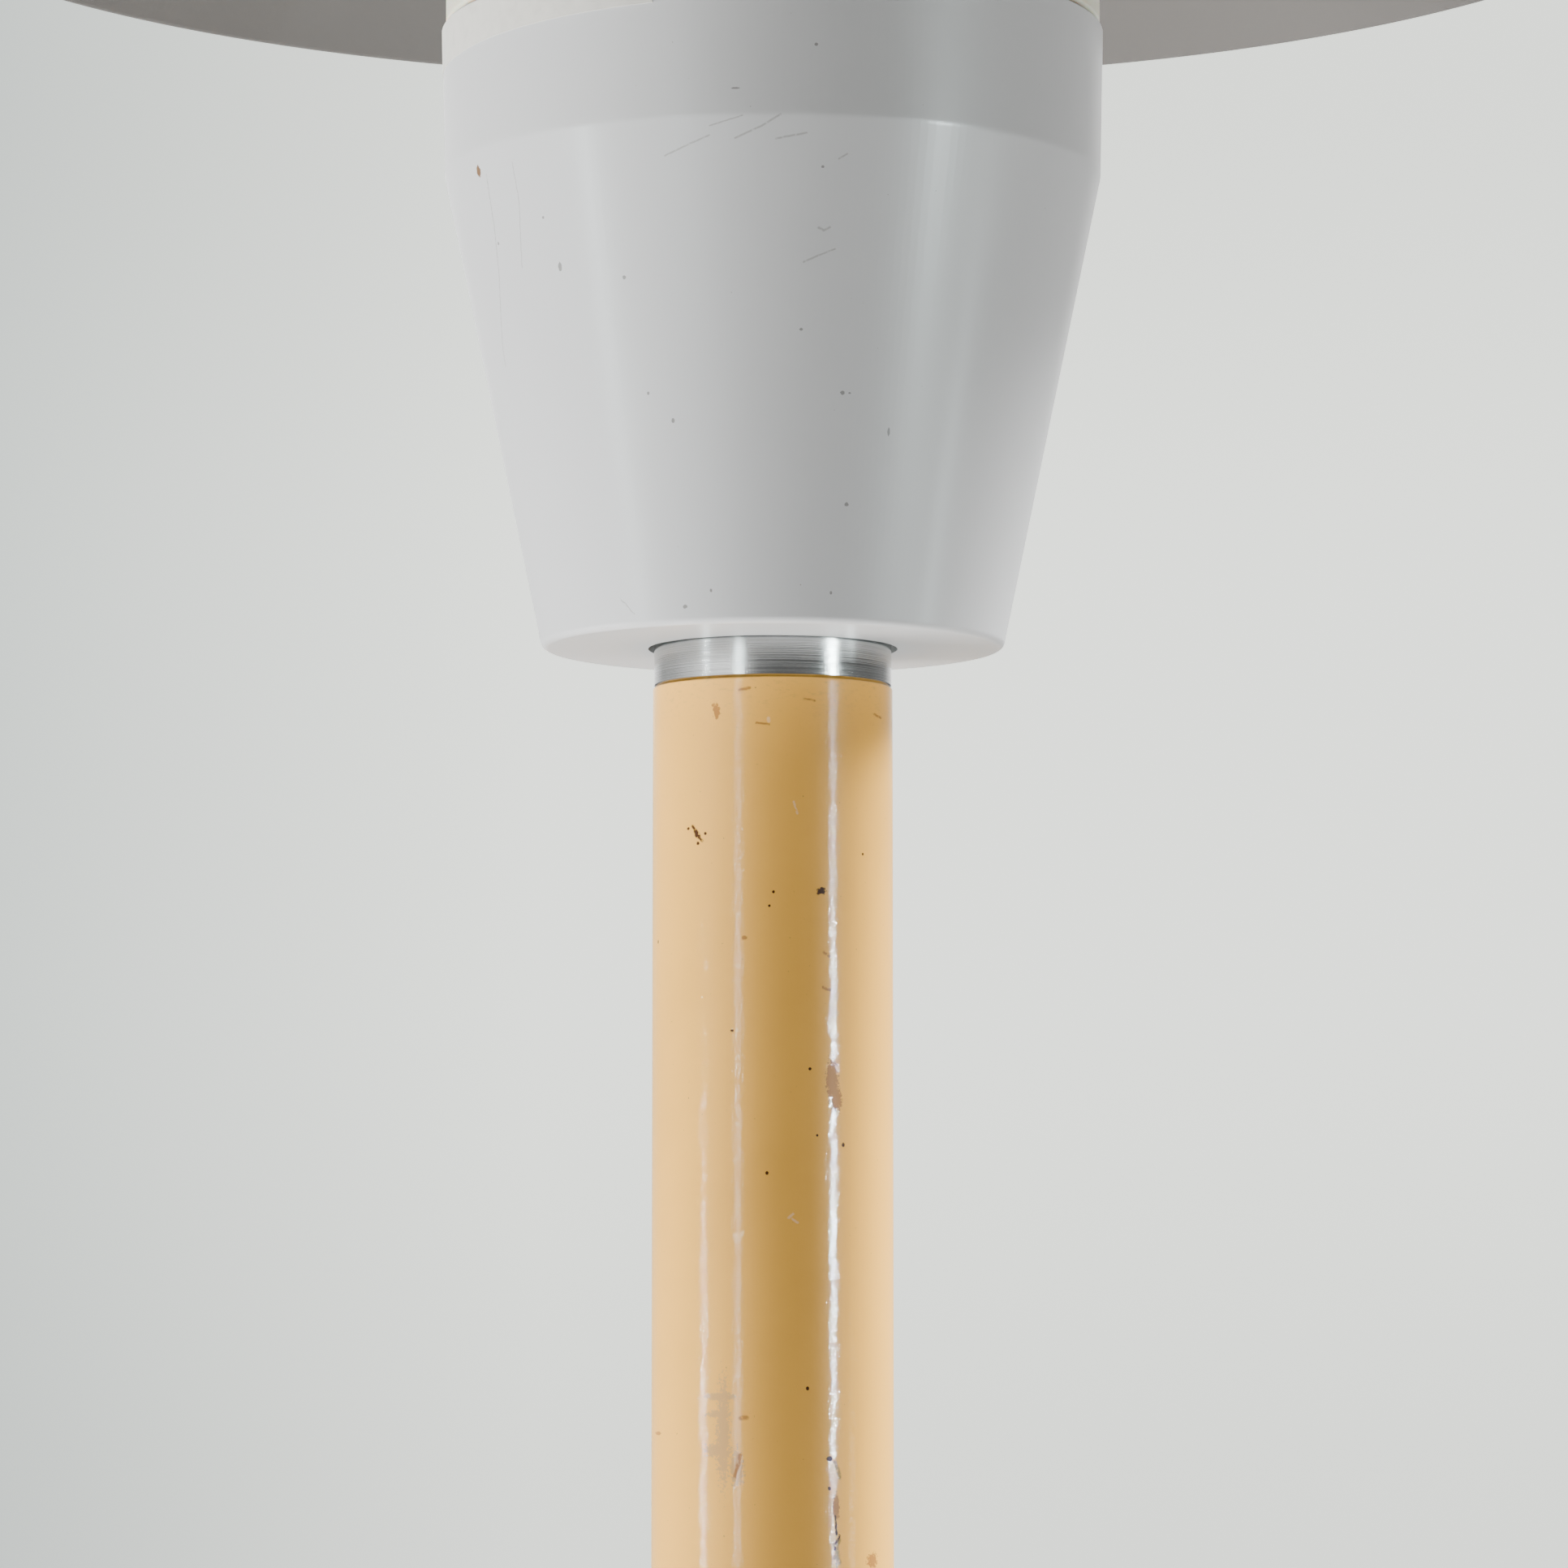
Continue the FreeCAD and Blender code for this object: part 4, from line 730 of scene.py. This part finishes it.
class LAMP_OT_cup(bpy.types.Operator):
    """Build the spun cup, the opal drum that stands in its rim and the strip stuck under it"""
    bl_idname = "lamp.cup"
    bl_label = "Cup"

    def execute(self, context):
        size = sizes_mm()
        base, knee, rim = size["cup_base_r"], size["cup_knee_r"], size["cup_rim_r"]
        wall, knee_z = size["cup_wall"], CUP_FLOOR + size["cup_knee_h"]
        inside_floor = CUP_FLOOR + wall
        inside_base = base + (knee - base) * wall / size["cup_knee_h"] - wall
        floor_edge, knee_round, lip, inside_knee, inside_edge = 1.0, 4.0, 0.25, 2.5, 0.4
        turned("cup_shell", [
            (size["cup_hole_r"], CUP_FLOOR), (base, CUP_FLOOR, floor_edge), (knee, knee_z, knee_round),
            (rim, CUP_RIM, lip), (rim - wall, CUP_RIM, lip), (knee - wall, knee_z, inside_knee),
            (inside_base, inside_floor, inside_edge), (size["cup_hole_r"], inside_floor)],
            "cup", "grey_lacquer", ["cup"])
        drum_low, drum_high, drum_r = low_z("diffuser"), high_z("diffuser"), outer_r("diffuser")
        fit, drum_wall, drum_edge, seat_gap = 0.23, 1.2, 0.5, 0.5
        spigot, shoulder = rim - wall - fit, CUP_RIM + seat_gap
        bore = spigot - drum_wall
        turned("opal_drum", [
            (bore, drum_low), (spigot, drum_low), (spigot, shoulder), (drum_r, shoulder, drum_edge),
            (drum_r, drum_high, drum_edge), (bore, drum_high, drum_edge)],
            "cup", "opal", ["diffuser"])
        self.bare_strip(rim, knee, knee_z)
        return {"FINISHED"}

    def bare_strip(self, rim, knee, knee_z):
        """The thin bare strip under the rim at the upper left; it narrows a little to its right end."""
        thick, lift, steps = 0.12, 0.01, 48
        top, bottom, narrowing = CUP_RIM - 0.3, CUP_RIM - 5.75, 1.1
        left, narrows_from, right = -2.25, -1.25, -14.7 / CUP_FLAT_R
        shape = bmesh.new()
        rows = []
        for step in range(steps + 1):
            angle = left + (right - left) * step / steps
            low = bottom + narrowing * max(0.0, (angle - narrows_from) / (right - narrows_from))
            row = []
            for z, out in ((low, lift), (top, lift), (top, thick), (low, thick)):
                radius = knee + (rim - knee) * (z - knee_z) / (CUP_RIM - knee_z) + out
                row.append(shape.verts.new((radius * math.sin(angle) * MM,
                                            -radius * math.cos(angle) * MM, z * MM)))
            rows.append(row)
        for first, second in zip(rows, rows[1:]):
            for corner in range(4):
                after = (corner + 1) % 4
                shape.faces.new((first[corner], first[after], second[after], second[corner]))
        shape.faces.new(rows[0][::-1])
        shape.faces.new(rows[-1])
        bmesh.ops.recalc_face_normals(shape, faces=shape.faces)
        mesh = bpy.data.meshes.new("bare_strip")
        shape.to_mesh(mesh)
        shape.free()
        mesh.materials.append(paint("nylon"))
        piece = bpy.data.objects.new("bare_strip", mesh)
        bpy.context.scene.collection.objects.link(piece)
        settle(piece, "cup")


class LAMP_OT_shade(bpy.types.Operator):
    """Build the shallow spun shade"""
    bl_idname = "lamp.shade"
    bl_label = "Shade"

    def execute(self, context):
        size = sizes_mm()
        seat, wall, rise = size["shade_seat_r"], size["shade_wall"], size["shade_rise"]
        reach = size["shade_r"] - seat
        arc_r = (reach ** 2 + rise ** 2) / (2 * rise)
        rim_angle = math.asin(reach / arc_r)
        centre_z = SHADE_TOP - arc_r
        steps, bead_steps = 72, 8

        def on_dome(radius, angle):
            return seat + radius * math.sin(angle), centre_z + radius * math.cos(angle)

        inside = [on_dome(arc_r - wall, rim_angle * step / steps) for step in range(steps + 1)]
        outside = [on_dome(arc_r, rim_angle * (1 - step / steps)) for step in range(steps + 1)]
        mid_r, mid_z = on_dome(arc_r - wall / 2, rim_angle)
        bead = []
        for step in range(1, bead_steps):
            turn = math.pi * step / bead_steps
            out, up = math.sin(turn) * wall / 2, -math.cos(turn) * wall / 2
            bead.append((mid_r + out * math.cos(rim_angle) + up * math.sin(rim_angle),
                         mid_z - out * math.sin(rim_angle) + up * math.cos(rim_angle)))
        stem_hole_r = 8.05
        edge_low, edge_high = (stem_hole_r, SHADE_TOP - wall), (stem_hole_r, SHADE_TOP)
        turned("shade_dome", [edge_low, *inside, *bead, *outside, edge_high],
               "pole", "shade_lacquer", ["shade"], steps=288)
        return {"FINISHED"}


class LAMP_OT_foot(bpy.types.Operator):
    """Build the foot's threaded screw and the scalloped hand nut on it"""
    bl_idname = "lamp.foot"
    bl_label = "Foot"

    def execute(self, context):
        low, high = low_z("foot_screw"), high_z("foot_screw")
        seed = bpy.data.meshes.new("thread_seed")
        seed.from_pydata([(0, 0, 0)], [], [])
        screw = from_tree("foot_thread", tree_named("Thread", thread_tree), seed, "steel",
                          radius=outer_r("foot_screw") * MM, depth=1.3 * MM, pitch=2.5 * MM,
                          low_end=low * MM, high_end=high * MM, steps_around=48, steps_per_turn=8)
        settle(screw, "foot", ["foot_screw"])
        nut_low, nut_top = low_z("adjusting_nut"), high_z("adjusting_nut")
        grip_top, grip_r, neck_r, bore = nut_low + 10.0, 19.0, 14.85, 10.08
        grip_edge, neck_edge = 0.8, 0.3
        turned("hand_nut", [
            (bore, nut_low), (grip_r, nut_low, grip_edge), (grip_r, grip_top, grip_edge),
            (neck_r, grip_top), (neck_r, nut_top, neck_edge), (bore, nut_top)],
            "nut", "turned_aluminium", ["adjusting_nut"], steps=320,
            flutes=16, flute_radius=3.4 * MM, flute_circle=21.1 * MM)
        return {"FINISHED"}


def studio_light(name, place, target, width, height, power, colour=(1.0, 1.0, 1.0), mirrored=False):
    """An area light that faces a point, in metres. It is seen in diffuse light only, or mirrored only."""
    data = bpy.data.lights.new(name, "AREA")
    data.shape, data.size, data.size_y = "RECTANGLE", width, height
    data.energy, data.color = power, colour
    light = bpy.data.objects.new(name, data)
    bpy.context.scene.collection.objects.link(light)
    light.location = place
    light.rotation_euler = (Vector(target) - Vector(place)).to_track_quat("-Z", "Y").to_euler()
    light.visible_camera = False
    light.visible_glossy = mirrored
    light.visible_diffuse = not mirrored
    return light


def around_pole(angle_deg, distance, height):
    """A point seen from the pole at an angle to the right of the camera, in metres."""
    angle = math.radians(angle_deg)
    return distance * math.sin(angle), -distance * math.cos(angle), height


# Soft panels round the lamp: name, degrees to the right of the camera, distance and height in
# metres, width, tallness, which setting its power comes from and what share of it.
PANELS = [
    ("high_right", 120, 1.56, 3.06, 0.8, 0.9, "high", 0.82),
    ("high_side", 96, 1.56, 3.06, 0.8, 0.9, "high", 0.15),
    ("high_left", -96, 1.56, 3.06, 0.8, 0.9, "high", 0.1),
    ("low_left_rear", -96, 1.94, 0.47, 0.8, 0.6, "low", 1.0),
    ("low_left", -72, 1.94, 0.47, 0.8, 0.6, "low", 0.6),
    ("low_right", 48, 1.94, 0.47, 0.8, 0.6, "low", 0.05),
    ("low_right_rear", 112, 1.94, 0.47, 0.8, 0.6, "low", 0.25),
    ("off_the_floor", 90, 0.5, 0.02, 1.2, 1.2, "low", 0.17),
    ("left_front", -48, 2.2, 1.5, 0.92, 0.9, "wall", 0.65),
    ("left_side", -72, 2.2, 1.5, 0.92, 0.9, "wall", 0.3),
    ("left_rear", -96, 2.2, 1.5, 0.92, 0.9, "wall", 0.21),
    ("left_back", -120, 2.2, 1.5, 0.92, 0.9, "wall", 0.22),
    ("wall_left", -144, 2.2, 1.5, 0.92, 0.9, "wall", 0.47),
    ("wall_mid_left", -168, 2.2, 1.5, 0.92, 0.9, "wall", 0.48),
    ("wall_mid_right", 168, 2.2, 1.5, 0.92, 0.9, "wall", 1.0),
    ("wall_right", 144, 2.2, 1.5, 0.92, 0.9, "wall", 0.95),
    ("right_side", 72, 2.2, 1.5, 1.8, 0.9, "wall", 0.08),
]
STRIP_DISTANCE, STRIP_TINT = 2.0, (0.86, 1.0, 1.0)
# Narrow lights whose reflections run down the pole: name, degrees, height, width, tallness, share.
STRIPS = [
    ("strip_right", 59.6, 1.455, 0.03, 0.2, 1.7),
    ("strip_right_high", 59.6, 1.625, 0.025, 0.15, 0.14),
    ("strip_right_top", 59.6, 1.77, 0.015, 0.14, 0.04),
    ("strip_left", -68.3, 1.33, 0.012, 0.26, 0.4),
    ("strip_left_high", -66.0, 1.75, 0.02, 0.2, 0.004),
    ("strip_middle", -33.0, 1.45, 0.03, 0.5, 0.28),
    ("strip_middle_high", -30.0, 1.76, 0.05, 0.2, 0.008),
    ("cone_right", 81.0, 0.95, 0.16, 0.7, 0.4),
    ("cone_left", -68.0, 0.9, 0.14, 0.6, 0.32),
]
# The dim room that the lamp mirrors, brighter at the left and behind: degrees to the right of the
# camera and how bright it is there.
ROOM = [
    (-180, 1.9), (-160, 1.5), (-135, 0.6), (-110, 0.75), (-87, 1.2), (-62, 2.0), (-38, 2.0), (-26, 0.9),
    (-16, 0.3), (5, 0.19), (60, 0.19), (110, 0.2), (140, 0.35), (160, 1.2), (180, 1.9)]
ROOM_TINT = (0.5, 0.5, 0.49)
DIFFUSE_SKY = (0.02, 0.02, 0.02)
# The backdrop that only the camera sees: its left and right, and how far it darkens down and up.
BACKDROP_LEFT, BACKDROP_RIGHT = (1.02, 1.12, 1.08), (1.92, 2.0, 1.86)
DARKER_BELOW, DARKER_ABOVE = 0.17, 0.13
# The floor's radius, and where its painted glow begins and ends as it brightens into the wall behind it, in
# metres.
FLOOR_R, FLOOR_BRIGHTENS, FLOOR_MEETS_WALL = 16.0, 0.9, 4.5


class LAMP_OT_stage(bpy.types.Operator):
    """Build the floor, the world, the lights and the camera"""
    bl_idname = "lamp.stage"
    bl_label = "Stage"

    def execute(self, context):
        scene, studio = context.scene, context.scene.lamp_studio
        self.camera(scene, studio)
        self.floor()
        self.world(scene)
        head = (0.0, 0.0, CUP_FLOOR * MM)
        powers = {"low": studio.low_power, "high": studio.high_power, "wall": studio.wall_power}
        for name, angle, distance, height, width, tall, source, share in PANELS:
            studio_light(name, around_pole(angle, distance, height), head, width, tall,
                         powers[source] * share)
        for name, angle, height, width, tall, share in STRIPS:
            studio_light(name, around_pole(angle, STRIP_DISTANCE, height), head, width, tall,
                         studio.strip_power * share, STRIP_TINT, mirrored=True)
        return {"FINISHED"}

    def camera(self, scene, studio):
        data = bpy.data.cameras.new("camera")
        data.sensor_width = 36.0
        data.lens = data.sensor_width * studio.focal_pixels / PHOTO_SIDE
        data.clip_start, data.clip_end = 0.01, 100.0
        camera = bpy.data.objects.new("camera", data)
        scene.collection.objects.link(camera)
        camera.location = (0.0, -studio.camera_distance, studio.camera_height)
        camera.rotation_euler = (math.pi / 2 + studio.camera_pitch, 0.0, -studio.camera_yaw)
        scene.camera = camera

    def floor(self):
        shape = bmesh.new()
        bmesh.ops.create_circle(shape, cap_ends=True, radius=FLOOR_R, segments=128)
        mesh = bpy.data.meshes.new("floor")
        shape.to_mesh(mesh)
        shape.free()
        piece = bpy.data.objects.new("floor", mesh)
        bpy.context.scene.collection.objects.link(piece)
        f = Finish("floor", Roughness=0.8)
        f.colour(flecked(f, (0.50, 0.50, 0.495), (0.485, 0.485, 0.48), (0.515, 0.515, 0.51), 0.004, 0.3))
        # Painted glow: seen by the camera only, the floor shines more the farther out it lies, so that it
        # fades into the backdrop.
        far = f.ramp(f.vector("LENGTH", f.place), FLOOR_BRIGHTENS, FLOOR_MEETS_WALL, 0.0, 1.15)
        seen = f.node("ShaderNodeLightPath").outputs["Is Camera Ray"]
        f.feed(f.shader.inputs["Emission Color"], (1.0, 1.02, 0.99, 1.0))
        f.feed(f.shader.inputs["Emission Strength"], f.math("MULTIPLY", far, seen))
        mesh.materials.append(f.material)

    def world(self, scene):
        world = bpy.data.worlds.new("studio")
        world.use_nodes = True
        graph = Graph(world.node_tree)
        world.node_tree.nodes.clear()
        way = graph.node("ShaderNodeTexCoord").outputs["Generated"]
        x, y, z = graph.xyz(way)
        seen = graph.mix(graph.ramp(x, -0.15, -0.04, smooth=False), BACKDROP_LEFT, BACKDROP_RIGHT)
        below = graph.math("MULTIPLY", graph.ramp(z, 0.06, -0.05), DARKER_BELOW)
        above = graph.math("MULTIPLY", graph.ramp(z, 0.12, 0.21), DARKER_ABOVE)
        seen = graph.mix(graph.math("ADD", below, above), seen, (0.0, 0.0, 0.0))
        around = graph.math("ARCTAN2", x, graph.math("MULTIPLY", y, -1.0))
        room = graph.node("ShaderNodeValToRGB", {0: graph.ramp(around, -math.pi, math.pi, smooth=False)})
        while len(room.color_ramp.elements) < len(ROOM):
            room.color_ramp.elements.new(0.5)
        for element, (angle, bright) in zip(room.color_ramp.elements, ROOM):
            element.position = (angle + 180.0) / 360.0
            element.color = (*shaded(ROOM_TINT, bright), 1.0)
        upper = graph.ramp(z, 0.085, 0.108, 1.1, 2.7)
        mirrored = graph.mix(1.0, room.outputs[0], graph.join(upper, upper, upper), blend="MULTIPLY")
        paths = graph.node("ShaderNodeLightPath").outputs
        sky = graph.mix(paths["Is Glossy Ray"], DIFFUSE_SKY, mirrored)
        sky = graph.mix(paths["Is Camera Ray"], sky, seen)
        shader = graph.node("ShaderNodeBackground", {"Color": sky, "Strength": 1.0})
        graph.node("ShaderNodeOutputWorld", {"Surface": shader.outputs[0]})
        scene.world = world


OPERATORS = (LAMP_OT_carried, LAMP_OT_pole, LAMP_OT_cup, LAMP_OT_shade, LAMP_OT_foot, LAMP_OT_stage)


class LAMP_PT_sidebar(bpy.types.Panel):
    """Lists the lamp's settings and the steps that build it"""
    bl_label = "Pole lamp"
    bl_idname = "LAMP_PT_sidebar"
    bl_space_type = "VIEW_3D"
    bl_region_type = "UI"
    bl_category = "Lamp"

    def draw(self, context):
        for operator in OPERATORS:
            self.layout.operator(operator.bl_idname)
        for name in SETTINGS:
            held = getattr(context.scene, name)
            box = self.layout.box()
            for key in type(held).__annotations__:
                box.prop(held, key)


SETTINGS = {"lamp_sizes": LampSizes, "lamp_colours": LampColours, "lamp_studio": LampStudio}
CLASSES = (*SETTINGS.values(), *OPERATORS, LAMP_PT_sidebar)


def register():
    for each in CLASSES:
        bpy.utils.register_class(each)
    for name, kind in SETTINGS.items():
        setattr(bpy.types.Scene, name, PointerProperty(type=kind))


def unregister():
    for name in SETTINGS:
        delattr(bpy.types.Scene, name)
    for each in reversed(CLASSES):
        bpy.utils.unregister_class(each)


def main():
    register()
    for operator in OPERATORS:
        group, name = operator.bl_idname.split(".")
        getattr(getattr(bpy.ops, group), name)()


if __name__ == "__main__":
    main()
